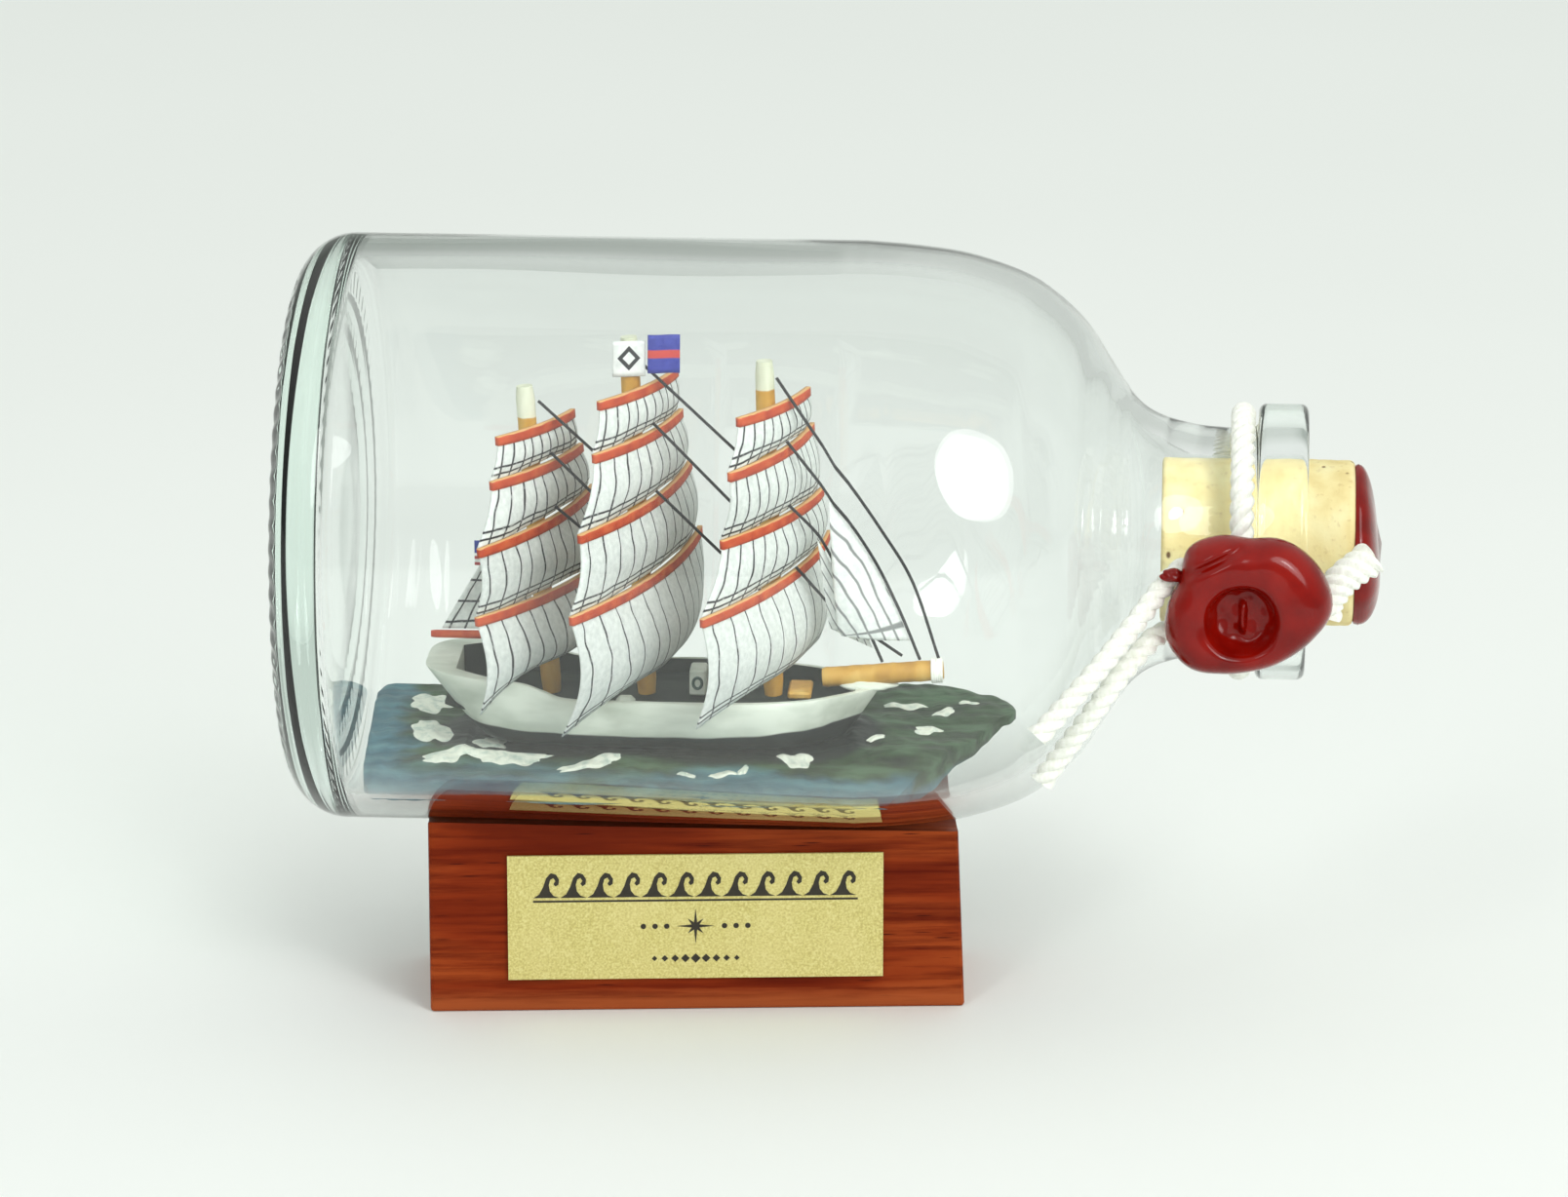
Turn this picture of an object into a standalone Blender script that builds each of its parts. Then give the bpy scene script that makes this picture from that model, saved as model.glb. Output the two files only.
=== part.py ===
"""A small ship in a bottle: a glass vial on its side in a wooden cradle, with a sealed cork.

Inside lie a putty sea and a three-masted ship with twelve square sails, two jibs and a spanker.
Lengths in the tables are millimetres. +X runs from the bottle's base to its mouth, -Y is the
front with the label and the wax seal, and the origin is under the middle, on the table.
"""

import math

import bmesh
import bpy
from mathutils import Matrix, Vector

MM = 0.001

# The bottle, a moulded vial. s is the distance from its base plane along its axis.
BODY_RADIUS = 21.25
BOTTLE_LENGTH = 73.0
WALL = 1.6
BASE_THICKNESS = 3.6
HEEL_RADIUS = 4.0
INNER_HEEL = 1.2
PUNT_DEPTH = 0.9
SHOULDER = (
    (41.0, 21.25), (44.5, 21.0), (48.4, 20.45), (52.3, 19.2), (54.7, 17.75), (57.0, 15.6),
    (58.8, 12.9), (60.5, 10.4), (62.3, 9.1), (64.9, 8.4), (67.0, 8.2),
)
NECK_RADIUS = 8.2
LIP_RADIUS = 9.95
LIP_START = 69.4
LIP_ROUND = 0.6
BORE_RADIUS = 6.3
BORE_START = 64.4
OVERALL_LENGTH = 78.4
BASE_X = -OVERALL_LENGTH / 2

# The stand.
BLOCK_LENGTH = 38.4
BLOCK_CENTRE_X = -10.75
BLOCK_TURN = 5.5
BLOCK_FOOT_FLARE = 0.6
BLOCK_DEPTH = 12.6
CRADLE_GAP = 0.3
AXIS_Z = 34.6
LABEL_LENGTH = 27.3
LABEL_HEIGHT = 9.5
LABEL_THICKNESS = 0.2
LABEL_CENTRE = (-10.6, 7.3)

# Clearance between large neighbours, and between the ship's small pieces.
GAP = 0.3
FINE_GAP = 0.12

# The stopper, its wax and its cords.
CORK_RADIUS = 6.0
CORK_START = 62.4
CORK_END = 76.4
CAP_RADIUS = 5.6
CORD_RADIUS = 0.75
NECK_LOOP_S = 68.3
SEAL_BACK_Y = -10.9
SEAL_CENTRE = (29.9, 33.2)
SEAL_SIZE = (12.0, 9.7)
SEAL_THICKNESS = 2.9
TIE_CORD_ROUTE = (
    (15.0, -16.6, 24.8), (17.2, -15.8, 27.2), (19.5, -14.6, 29.7), (21.8, -12.5, 32.2),
    (23.4, -10.8, 34.0), (24.8, -9.95, 35.3), (26.2, -9.85, 35.6), (27.1, -9.85, 34.6),
    (27.1, -9.85, 33.0), (26.2, -9.85, 31.5), (24.8, -9.95, 30.9), (23.4, -10.6, 30.7),
    (22.0, -11.9, 29.7), (20.4, -13.2, 28.0), (18.8, -13.7, 25.7), (17.0, -13.6, 23.1),
    (15.3, -13.25, 20.5),
)
CAP_CORD_ROUTE = (
    (34.95, -9.2, 31.8), (35.3, -8.9, 33.0), (36.2, -8.3, 34.2), (37.3, -7.7, 35.0),
    (38.3, -7.15, 35.6),
)

# The sea, with its low waves.
SEA_LEVEL = 18.62
SEA_START = -34.9
SEA_END = 13.2
WAVE_HEIGHT = 0.16

# The hull: station x at the rail, half breadth, rail height.
KEEL_Z = 19.05
DECK_Z = 21.8
STATIONS = (
    (-29.9, 2.4, 24.7), (-29.0, 3.7, 24.7), (-27.4, 4.7, 24.6), (-25.0, 5.3, 24.55),
    (-22.6, 5.6, 24.4), (-21.0, 5.7, 23.9), (-19.3, 5.75, 23.35), (-15.0, 5.8, 23.25),
    (-10.0, 5.8, 23.2), (-6.0, 5.5, 23.15), (-3.0, 4.8, 23.1), (-0.6, 3.7, 23.1),
    (1.4, 2.2, 23.1), (3.1, 0.6, 23.1),
)
STERN_RAKE = 0.78
BOW_RAKE = 0.65
BULWARK = 0.6
DECK_PLATE = 0.25

# Spars.
BOWSPRIT_HEEL = (-1.0, 23.55)
BOWSPRIT_TIP = (7.7, 24.35)
BOWSPRIT_RADIUS = 0.74
MAST_FOOT_Z = DECK_Z + DECK_PLATE + 2 * FINE_GAP + 0.1
MAST_RADII = (0.75, 0.62)
YARD_HEIGHT = 0.75
YARD_THICKNESS = 0.36
YARD_OFFSET = 1.3
YARD_BEND = 0.066
SAIL_THICKNESS = 0.22
STAY_RADIUS = 0.14

# Each mast: foot x, rake aft in degrees, top z, then its yards from the top down as
# (z at the mast, length, brace angle in degrees), and the course's foot as
# (corner z, foot length, rise of its middle, how far its corners are drawn aft).
MASTS = {
    "mizzen": {
        "foot_x": -20.9,
        "rake": 4.4,
        "top_z": 45.3,
        "yards": ((42.3, 9.5, 30.0), (39.3, 12.2, 27.0), (35.2, 18.6, 21.0), (30.0, 18.4, 26.0)),
        "course_foot": (22.8, 17.4, 2.5, 0.5),
    },
    "main": {
        "foot_x": -13.9,
        "rake": 2.6,
        "top_z": 49.0,
        "yards": ((45.2, 11.1, 25.5), (41.7, 14.0, 22.0), (36.8, 21.1, 17.5), (31.3, 24.7, 17.5)),
        "course_foot": (22.0, 21.6, 2.5, 1.5),
    },
    "fore": {
        "foot_x": -4.6,
        "rake": 1.7,
        "top_z": 47.3,
        "yards": ((44.05, 10.2, 26.0), (40.7, 15.0, 19.5), (35.8, 15.8, 23.5), (31.2, 24.0, 19.0)),
        "course_foot": (23.2, 23.6, 1.3, 0.4),
    },
}
SAIL_NAMES = ("royal", "topgallant", "topsail", "course")

# Stays in the ship's centre plane, as (x, z) points from aft to forward.
MAST_STAYS = {
    "mizzen_royal_stay": ((-21.25, 43.8), (-16.0, 38.9)),
    "mizzen_topgallant_stay": ((-20.35, 39.9), (-15.85, 35.4)),
    "mizzen_topmast_stay": ((-20.15, 36.0), (-15.75, 32.3)),
    "main_royal_stay": ((-13.6, 46.5), (-6.05, 39.4)),
    "main_topgallant_stay": ((-12.95, 42.2), (-5.95, 35.0)),
    "main_topmast_stay": ((-12.75, 37.2), (-5.8, 30.4)),
}
FORE_STAYS = {
    "fore_royal_stay": ((-4.15, 45.6), (-0.33, 39.9), (3.0, 35.0), (5.4, 30.9), (7.2, 25.6)),
    "outer_jib_stay": ((-3.4, 41.0), (0.1, 36.4), (2.6, 32.6), (4.4, 28.9), (5.8, 25.45)),
    "inner_jib_stay": ((-3.2, 36.3), (-1.4, 34.4), (0.3, 31.6), (1.9, 28.0), (3.1, 25.2)),
    "fore_topmast_stay": ((-2.75, 31.4), (-0.8, 29.2), (1.9, 27.0), (4.3, 25.3)),
}
# The lowest fore stay passes the jibs on their far side.
STAY_SIDE = {"fore_topmast_stay": 0.8}


def clear_scene():
    for old in list(bpy.data.objects):
        bpy.data.objects.remove(old, do_unlink=True)


def make_collection(name):
    collection = bpy.data.collections.new(name)
    bpy.context.scene.collection.children.link(collection)
    return collection


def make_material(name, colour, roughness, metallic=0.0, transmission=0.0):
    material = bpy.data.materials.new(name)
    material.use_nodes = True
    shader = material.node_tree.nodes["Principled BSDF"]
    shader.inputs["Base Color"].default_value = (*colour, 1.0)
    shader.inputs["Roughness"].default_value = roughness
    shader.inputs["Metallic"].default_value = metallic
    shader.inputs["Transmission Weight"].default_value = transmission
    return material


def mm(*values):
    return Vector(values) * MM


def smooth_curve(points, spans):
    """Points along a Catmull-Rom curve through the given ones, spans to each stretch."""
    knots = [Vector(p) for p in points]
    knots = [2 * knots[0] - knots[1], *knots, 2 * knots[-1] - knots[-2]]
    found = []
    for a, b, c, d in zip(knots, knots[1:], knots[2:], knots[3:]):
        for step in range(spans):
            t = step / spans
            found.append(
                0.5 * (2 * b + (c - a) * t + (2 * a - 5 * b + 4 * c - d) * t**2
                       + (3 * b - a - 3 * c + d) * t**3)
            )
    found.append(knots[-2])
    return found


def arc(centre, radius, start, end, steps):
    """Points (s, r) on a circle, with angles in degrees from the +s direction."""
    found = []
    for step in range(steps + 1):
        angle = math.radians(start + (end - start) * step / steps)
        found.append((centre[0] + radius * math.cos(angle), centre[1] + radius * math.sin(angle)))
    return found


def inward(points, distance):
    """An (s, r) profile moved towards the axis by distance, square to itself."""
    moved = []
    for i, (s, r) in enumerate(points):
        before = points[max(i - 1, 0)]
        after = points[min(i + 1, len(points) - 1)]
        along = Vector((after[0] - before[0], after[1] - before[1])).normalized()
        moved.append((s + along.y * distance, r - along.x * distance))
    return moved


def radius_at(profile, s):
    """The profile's radius at s, by straight lines between its points."""
    for (s0, r0), (s1, r1) in zip(profile, profile[1:]):
        if s0 <= s <= s1 and s1 > s0:
            return r0 + (r1 - r0) * (s - s0) / (s1 - s0)
    return profile[0][1] if s < profile[0][0] else profile[-1][1]


def add_object(name, data, material, collection):
    piece = bpy.data.objects.new(name, data)
    piece.data.materials.append(material)
    collection.objects.link(piece)
    return piece


def mesh_from(build, name):
    """A mesh whose geometry the function build makes in a bmesh."""
    mesh = bpy.data.meshes.new(name)
    work = bmesh.new()
    build(work)
    work.to_mesh(mesh)
    work.free()
    return mesh


def add_box(name, low, high, material, collection, bevel=0.0):
    size = [b - a for a, b in zip(low, high)]
    middle = [(a + b) / 2 for a, b in zip(low, high)]

    def build(work):
        bmesh.ops.create_cube(work, size=1.0)
        bmesh.ops.scale(work, vec=mm(*size), verts=work.verts)

    piece = add_object(name, mesh_from(build, name), material, collection)
    piece.location = mm(*middle)
    if bevel:
        add_bevel(piece, bevel)
    return piece


def add_bevel(piece, width, segments=1):
    bevel = piece.modifiers.new("Bevel", "BEVEL")
    bevel.width = width * MM
    bevel.segments = segments
    bevel.limit_method = "ANGLE"
    bevel.angle_limit = math.radians(30)


def add_rod(name, start, end, radii, material, collection, sides=12):
    """A straight tapering rod from start to end, both in millimetres."""
    first = mm(*start)
    along = mm(*end) - first

    def build(work):
        bmesh.ops.create_cone(
            work, cap_ends=True, segments=sides, radius1=radii[0] * MM, radius2=radii[1] * MM,
            depth=along.length,
        )

    mesh = mesh_from(build, name)
    mesh.shade_smooth()
    mesh.set_sharp_from_angle(angle=math.radians(40))
    piece = add_object(name, mesh, material, collection)
    piece.location = first + along / 2
    piece.rotation_mode = "QUATERNION"
    piece.rotation_quaternion = along.to_track_quat("Z", "Y")
    return piece


def add_tube(name, points, radius, material, collection, closed=False):
    """A round cord through points in metres."""
    curve = bpy.data.curves.new(name, "CURVE")
    curve.dimensions = "3D"
    curve.bevel_depth = radius * MM
    curve.bevel_resolution = 2
    curve.use_fill_caps = True
    spline = curve.splines.new("POLY")
    spline.points.add(len(points) - 1)
    for knot, place in zip(spline.points, points):
        knot.co = (*place, 1.0)
    spline.use_cyclic_u = closed
    return add_object(name, curve, material, collection)


def add_turned(name, profile, segments, material, collection):
    """A solid turned about the bottle's axis, from an (s, r) profile that ends on the axis."""

    def build(work):
        made = [work.verts.new((r * MM, 0.0, s * MM)) for s, r in profile]
        for a, b in zip(made, made[1:]):
            work.edges.new((a, b))

    piece = add_object(name, mesh_from(build, name), material, collection)
    piece.location = mm(BASE_X, 0.0, AXIS_Z)
    piece.rotation_euler = (0.0, math.radians(90), 0.0)
    add_screw(piece, segments)
    return piece


def add_screw(piece, segments):
    screw = piece.modifiers.new("Screw", "SCREW")
    screw.steps = segments
    screw.render_steps = segments
    screw.use_merge_vertices = True
    screw.merge_threshold = 0.00001
    screw.use_smooth_shade = True


def add_sheet(name, place, cells, thickness, material, collection):
    """A thin curved sheet. place gives the point, in millimetres, for u in -1..1 and w in 0..1."""

    def build(work):
        bmesh.ops.create_grid(work, x_segments=cells[0], y_segments=cells[1], size=1.0)
        for vertex in work.verts:
            vertex.co = mm(*place(vertex.co.x, (vertex.co.y + 1) / 2))

    mesh = mesh_from(build, name)
    mesh.shade_smooth()
    piece = add_object(name, mesh, material, collection)
    solid = piece.modifiers.new("Solidify", "SOLIDIFY")
    solid.thickness = thickness * MM
    solid.offset = 0.0
    solid.use_even_offset = True
    return piece


def add_cut(piece, cutter):
    cut = piece.modifiers.new("Boolean", "BOOLEAN")
    cut.operation = "DIFFERENCE"
    cut.solver = "EXACT"
    cut.object = cutter
    cutter.hide_render = True
    cutter.display_type = "WIRE"


def outer_profile():
    """The outside of the glass from the base's middle to the top of the lip, as (s, r)."""
    ring = BODY_RADIUS - HEEL_RADIUS
    base = [(PUNT_DEPTH, 0.0), (PUNT_DEPTH * 0.9, ring * 0.55), (0.25, ring - 0.5)]
    heel = arc((HEEL_RADIUS, ring), HEEL_RADIUS, 180, 90, 6)
    shoulder = [tuple(p) for p in smooth_curve(SHOULDER, 2)]
    neck = [(LIP_START - LIP_ROUND, NECK_RADIUS), (LIP_START, NECK_RADIUS + 0.35)]
    lip = [(LIP_START, LIP_RADIUS - LIP_ROUND)]
    lip += arc((LIP_START + LIP_ROUND, LIP_RADIUS - LIP_ROUND), LIP_ROUND, 150, 90, 2)
    lip += arc((BOTTLE_LENGTH - LIP_ROUND, LIP_RADIUS - LIP_ROUND), LIP_ROUND, 90, 0, 3)
    return base + heel + shoulder + neck + lip


def inner_profile():
    """The inside of the glass from the base's middle to the top of the bore, as (s, r)."""
    inside = BODY_RADIUS - WALL
    heel = INNER_HEEL
    base = [(BASE_THICKNESS + 0.3, 0.0), (BASE_THICKNESS, inside - heel)]
    curve = arc((BASE_THICKNESS + heel, inside - heel), heel, 160, 90, 4)
    shoulder = [tuple(p) for p in smooth_curve(SHOULDER, 2)]
    shoulder = [p for p in inward(shoulder, WALL) if p[0] < BORE_START - 1.5]
    bore = [(BORE_START, BORE_RADIUS), (BOTTLE_LENGTH - 0.3, BORE_RADIUS)]
    return base + curve + shoulder + bore + [(BOTTLE_LENGTH, BORE_RADIUS + 0.4)]


def make_bottle(parts, material):
    profile = inner_profile() + list(reversed(outer_profile()))
    return add_turned("bottle", profile, 36, material, parts)


def turn_with_block(piece):
    """Turn a piece about the block's upright middle line: the block sits askew to the bottle."""
    middle = mm(BLOCK_CENTRE_X, 0.0, 0.0)
    turn = Matrix.Rotation(math.radians(BLOCK_TURN), 4, "Z")
    piece.location = middle + turn @ (piece.location - middle)
    piece.rotation_euler.z = math.radians(BLOCK_TURN)


def make_stand(parts, cutters, material):
    """The block, sawn a little wider at its right foot and hollowed to the bottle's radius."""
    half = BLOCK_LENGTH / 2
    left, right = BLOCK_CENTRE_X - half, BLOCK_CENTRE_X + half
    corner_y = BLOCK_DEPTH / 2 + half * math.sin(math.radians(BLOCK_TURN))
    top = AXIS_Z - math.sqrt((BODY_RADIUS + CRADLE_GAP) ** 2 - corner_y**2) + 0.05
    block = add_box(
        "stand_block", (left, -BLOCK_DEPTH / 2, 0.0), (right, BLOCK_DEPTH / 2, top), material, parts
    )
    for vertex in block.data.vertices:
        if vertex.co.x > 0 and vertex.co.z < 0:
            vertex.co.x += BLOCK_FOOT_FLARE * MM
    turn_with_block(block)
    add_bevel(block, 0.25, 2)
    cutter = add_rod(
        "cradle_cutter", (left - 5, 0.0, AXIS_Z), (right + 5, 0.0, AXIS_Z),
        (BODY_RADIUS + CRADLE_GAP,) * 2, material, cutters, sides=96,
    )
    add_cut(block, cutter)


def make_label(parts, material):
    front = -BLOCK_DEPTH / 2 - FINE_GAP
    x, z = LABEL_CENTRE
    label = add_box(
        "label_plate", (x - LABEL_LENGTH / 2, front - LABEL_THICKNESS, z - LABEL_HEIGHT / 2),
        (x + LABEL_LENGTH / 2, front, z + LABEL_HEIGHT / 2), material, parts,
    )
    turn_with_block(label)


def make_stopper(parts, cork_material, wax_material, cord_material):
    chamfer = 0.5
    cork = [
        (CORK_END, 0.0), (CORK_END, CORK_RADIUS - chamfer), (CORK_END - chamfer, CORK_RADIUS),
        (CORK_START + chamfer, CORK_RADIUS), (CORK_START, CORK_RADIUS - chamfer),
        (CORK_START, 0.0),
    ]
    add_turned("cork", cork, 32, cork_material, parts)
    start = CORK_END + FINE_GAP
    end = OVERALL_LENGTH
    cap = [(end, 0.0), (end - 0.1, CAP_RADIUS * 0.5), (end - 0.45, CAP_RADIUS * 0.85)]
    cap += [(end - 1.0, CAP_RADIUS), (start + 0.2, CAP_RADIUS), (start, CAP_RADIUS - 0.3), (start, 0.0)]
    add_turned("wax_cap", cap, 28, wax_material, parts)
    route = smooth_curve([mm(*p) for p in CAP_CORD_ROUTE], 3)
    add_tube("cap_cord", route, CORD_RADIUS, cord_material, parts)


def make_neck_cords(parts, material):
    """The ring tied round the neck, and the cord whose two tails hang from behind the seal."""
    radius = NECK_RADIUS + GAP + CORD_RADIUS
    steps = 40
    ring = []
    for step in range(steps):
        angle = 2 * math.pi * step / steps
        ring.append(
            mm(BASE_X + NECK_LOOP_S, radius * math.cos(angle), AXIS_Z + radius * math.sin(angle))
        )
    add_tube("neck_cord", ring, CORD_RADIUS, material, parts, closed=True)
    route = smooth_curve([mm(*p) for p in TIE_CORD_ROUTE], 2)
    add_tube("tie_cord", route, CORD_RADIUS, material, parts)


def make_seal(parts, material):
    """An oval pad of wax with a thick rim and a round stamped hollow, its face to -Y."""
    half = SEAL_SIZE[1] / 2
    hollow = 2.3
    back, rim, floor = 0.0, SEAL_THICKNESS, SEAL_THICKNESS * 0.5
    profile = [
        (floor, 0.0), (floor, hollow - 0.4), (rim - 0.35, hollow + 0.1), (rim, hollow + 0.8),
        (rim - 0.2, half - 0.9), (rim * 0.6, half - 0.05), (rim * 0.3, half), (back, half - 0.7),
        (back, 0.0),
    ]

    def build(work):
        made = [work.verts.new((r * MM, 0.0, h * MM)) for h, r in profile]
        for a, b in zip(made, made[1:]):
            work.edges.new((a, b))

    seal = add_object("wax_seal", mesh_from(build, "wax_seal"), material, parts)
    seal.location = mm(SEAL_CENTRE[0], SEAL_BACK_Y, SEAL_CENTRE[1])
    seal.rotation_euler = (math.radians(90), 0.0, 0.0)
    seal.scale = (SEAL_SIZE[0] / SEAL_SIZE[1], 1.0, 1.0)
    add_screw(seal, 28)


def sea_height(x, y):
    swell = math.sin(0.55 * x + 0.35 * y) + 0.6 * math.sin(0.9 * y - 0.4 * x + 1.0)
    return SEA_LEVEL + WAVE_HEIGHT * swell


def make_sea(parts, material):
    """The putty: flat waves above, and the glass's own curve below, one section at each x."""
    glass = inner_profile()
    rows, across = 26, 10

    def section(x):
        radius = radius_at(glass, x - BASE_X) - GAP
        depth = AXIS_Z - SEA_LEVEL + WAVE_HEIGHT * 2
        half = math.sqrt(max(radius**2 - depth**2, 0.0)) * 0.985
        surface = []
        for i in range(across + 1):
            y = half * (2 * i / across - 1)
            surface.append(mm(x, y, sea_height(x, y)))
        edge = math.atan2(half, depth)
        bottom = []
        for i in range(across + 1):
            angle = edge * (1 - 2 * i / across)
            bottom.append(mm(x, radius * math.sin(angle), AXIS_Z - radius * math.cos(angle)))
        return surface + bottom

    def build(work):
        rings = []
        for row in range(rows + 1):
            x = SEA_START + (SEA_END - SEA_START) * row / rows
            rings.append([work.verts.new(p) for p in section(x)])
        loft(work, rings)

    add_object("sea", mesh_from(build, "sea"), material, parts)


def loft(work, rings):
    """Faces between neighbouring rings of the same count, and a cap on each end."""
    count = len(rings[0])
    for ring, following in zip(rings, rings[1:]):
        for i in range(count):
            j = (i + 1) % count
            work.faces.new((ring[i], ring[j], following[j], following[i]))
    work.faces.new(list(reversed(rings[0])))
    work.faces.new(rings[-1])
    bmesh.ops.recalc_face_normals(work, faces=work.faces)


def hull_shift(x, z, rail):
    """How far a hull point moves along X for the raked stern and bow."""
    aft = max(0.0, (-18.0 - x) / 11.9)
    forward = max(0.0, (x + 5.0) / 8.1)
    return (rail - z) * (STERN_RAKE * aft - BOW_RAKE * forward)


def make_hull(parts, cutters, material):
    def build(work):
        rings = []
        for x, half, rail in STATIONS:
            outline = (
                (0.0, KEEL_Z), (0.72, KEEL_Z), (0.93, KEEL_Z + 0.5), (1.0, KEEL_Z + 2.0),
                (0.98, rail),
            )
            near = [(-share * half, z) for share, z in reversed(outline[1:])]
            far = [(share * half, z) for share, z in outline]
            ring = [(x + hull_shift(x, z, rail), y, z) for y, z in near + far]
            rings.append([work.verts.new(mm(*p)) for p in ring])
        loft(work, rings)

    hull = add_object("hull", mesh_from(build, "hull"), material, parts)
    well = add_outline("well_cutter", deck_outline(BULWARK), (DECK_Z, 30.0), material, cutters)
    add_cut(hull, well)
    x0, z0 = BOWSPRIT_HEEL
    x1, z1 = BOWSPRIT_TIP
    slope = (z1 - z0) / (x1 - x0)
    bed = add_rod(
        "bowsprit_bed_cutter", (x0 - 1, 0.0, z0 - slope), (x1, 0.0, z1),
        (BOWSPRIT_RADIUS + FINE_GAP,) * 2, material, cutters, sides=16,
    )
    add_cut(hull, bed)


def deck_outline(inset):
    """The deck's outline as (x, y) points, the hull's stations moved in by inset."""
    side = [(x, half * 0.98 - inset) for x, half, _ in STATIONS[1:-1]]
    side[0] = (side[0][0] + inset * 0.6, side[0][1])
    side[-1] = (side[-1][0] - inset * 0.6, side[-1][1])
    return side + [(x, -y) for x, y in reversed(side)]


def add_outline(name, outline, heights, material, collection):
    """A flat 2D outline extruded between two heights."""
    curve = bpy.data.curves.new(name, "CURVE")
    curve.dimensions = "2D"
    curve.fill_mode = "BOTH"
    curve.extrude = (heights[1] - heights[0]) / 2 * MM
    spline = curve.splines.new("POLY")
    spline.points.add(len(outline) - 1)
    for knot, (x, y) in zip(spline.points, outline):
        knot.co = (x * MM, y * MM, 0.0, 1.0)
    spline.use_cyclic_u = True
    holder = bpy.data.objects.new(name + "_outline", curve)
    bpy.context.scene.collection.objects.link(holder)
    holder.location = mm(0.0, 0.0, sum(heights) / 2)
    bpy.context.view_layer.update()
    mesh = bpy.data.meshes.new_from_object(
        holder.evaluated_get(bpy.context.evaluated_depsgraph_get())
    )
    work = bmesh.new()
    work.from_mesh(mesh)
    bmesh.ops.remove_doubles(work, verts=work.verts, dist=0.00001)
    bmesh.ops.recalc_face_normals(work, faces=work.faces)
    work.to_mesh(mesh)
    work.free()
    mesh.materials.clear()
    piece = add_object(name, mesh, material, collection)
    piece.matrix_world = holder.matrix_world
    bpy.data.objects.remove(holder, do_unlink=True)
    return piece


def make_deck_pieces(parts, deck_material, white_material, timber_material):
    low = DECK_Z + FINE_GAP
    top = low + DECK_PLATE
    add_outline("deck", deck_outline(BULWARK + 2 * FINE_GAP), (low, top), deck_material, parts)
    seat = top + FINE_GAP
    add_box("deck_house", (-10.7, -1.0, seat), (-9.5, 1.0, 24.3), white_material, parts, 0.12)
    add_box("deck_boat", (-15.9, -3.5, seat), (-14.5, -2.6, 22.95), white_material, parts, 0.3)
    add_box("windlass", (-3.5, -1.5, seat), (-1.8, 1.5, 22.85), timber_material, parts, 0.15)


def mast_x(mast, z):
    return mast["foot_x"] - math.tan(math.radians(mast["rake"])) * (z - MAST_FOOT_Z)


def make_masts(parts, material):
    for name, mast in MASTS.items():
        foot = (mast["foot_x"], 0.0, MAST_FOOT_Z)
        top = (mast_x(mast, mast["top_z"]), 0.0, mast["top_z"])
        add_rod(name + "_mast", foot, top, MAST_RADII, material, parts)


def sail_point(mast, brace, z, sideways, forward):
    """A point off the mast, sideways along a braced yard and forward square to it."""
    angle = math.radians(brace)
    x = mast_x(mast, z) + sideways * math.sin(angle) + forward * math.cos(angle)
    return (x, sideways * math.cos(angle) - forward * math.sin(angle), z)


def add_yard(name, mast, yard, material, parts):
    """A flat bent batten, its middle furthest forward."""
    height, length, brace = yard

    def place(u, w):
        z = height + (0.5 - w) * YARD_HEIGHT
        return sail_point(mast, brace, z, u * length / 2, YARD_OFFSET - YARD_BEND * length * u**2)

    add_sheet(name, place, (8, 1), YARD_THICKNESS, material, parts)


def add_square_sail(name, mast, yard, foot, material, parts):
    """A stiff paper sail: head under its yard, belly forward, foot as (z, length, rise, drawn aft)."""
    height, length, brace = yard
    foot_z, foot_length, rise, drawn = foot
    head_z = height - YARD_HEIGHT / 2 - FINE_GAP
    drop = head_z - foot_z
    belly = min(0.13 * drop, 1.1)

    def place(u, w):
        half = (length + (foot_length - length) * w) / 2 - 0.1
        bend = YARD_BEND * length * (1 + 0.25 * w)
        forward = YARD_OFFSET - bend * u**2 - drawn * w**2 * u**4
        forward += belly * math.sin(math.pi * w) * (1 - 0.35 * u**2)
        z = head_z - drop * w + rise * w**2 * (1 - u**4)
        return sail_point(mast, brace, z, u * half, forward)

    add_sheet(name, place, (8, 6), SAIL_THICKNESS, material, parts)


def make_square_rig(parts, yard_material, sail_material):
    clear = YARD_HEIGHT / 2 + 0.16
    for mast_name, mast in MASTS.items():
        yards = mast["yards"]
        for i, yard in enumerate(yards):
            name = f"{mast_name}_{SAIL_NAMES[i]}"
            if i + 1 < len(yards):
                following = yards[i + 1]
                foot = (following[0] + clear, 0.95 * following[1], 0.25, 0.2)
            else:
                foot = mast["course_foot"]
            add_yard(name + "_yard", mast, yard, yard_material, parts)
            add_square_sail(name, mast, yard, foot, sail_material, parts)


def make_spanker(parts, sail_material, spar_material):
    mizzen = MASTS["mizzen"]
    boom_z = 26.35
    boom_end = (-29.7, 0.0, boom_z)
    off_mast = MAST_RADII[0] + FINE_GAP + 0.06
    add_rod(
        "spanker_boom", (mast_x(mizzen, boom_z) - off_mast, 0.0, boom_z + 0.1), boom_end,
        (0.32, 0.28), spar_material, parts, sides=8,
    )
    foot_z = boom_z + 0.6
    tack = (mast_x(mizzen, foot_z) - off_mast, foot_z + 0.1)
    clew = (-28.9, foot_z)
    throat = (mast_x(mizzen, 31.4) - off_mast, 31.4)
    peak = (-25.7, 32.2)

    def place(u, w):
        a = (1 + u) / 2
        top = [p + (q - p) * a for p, q in zip(throat, peak)]
        foot = [p + (q - p) * a for p, q in zip(tack, clew)]
        x, z = (p + (q - p) * w for p, q in zip(top, foot))
        return (x, 0.5 * math.sin(math.pi * a) * math.sin(math.pi * w), z)

    add_sheet("spanker", place, (6, 5), SAIL_THICKNESS, sail_material, parts)


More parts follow.
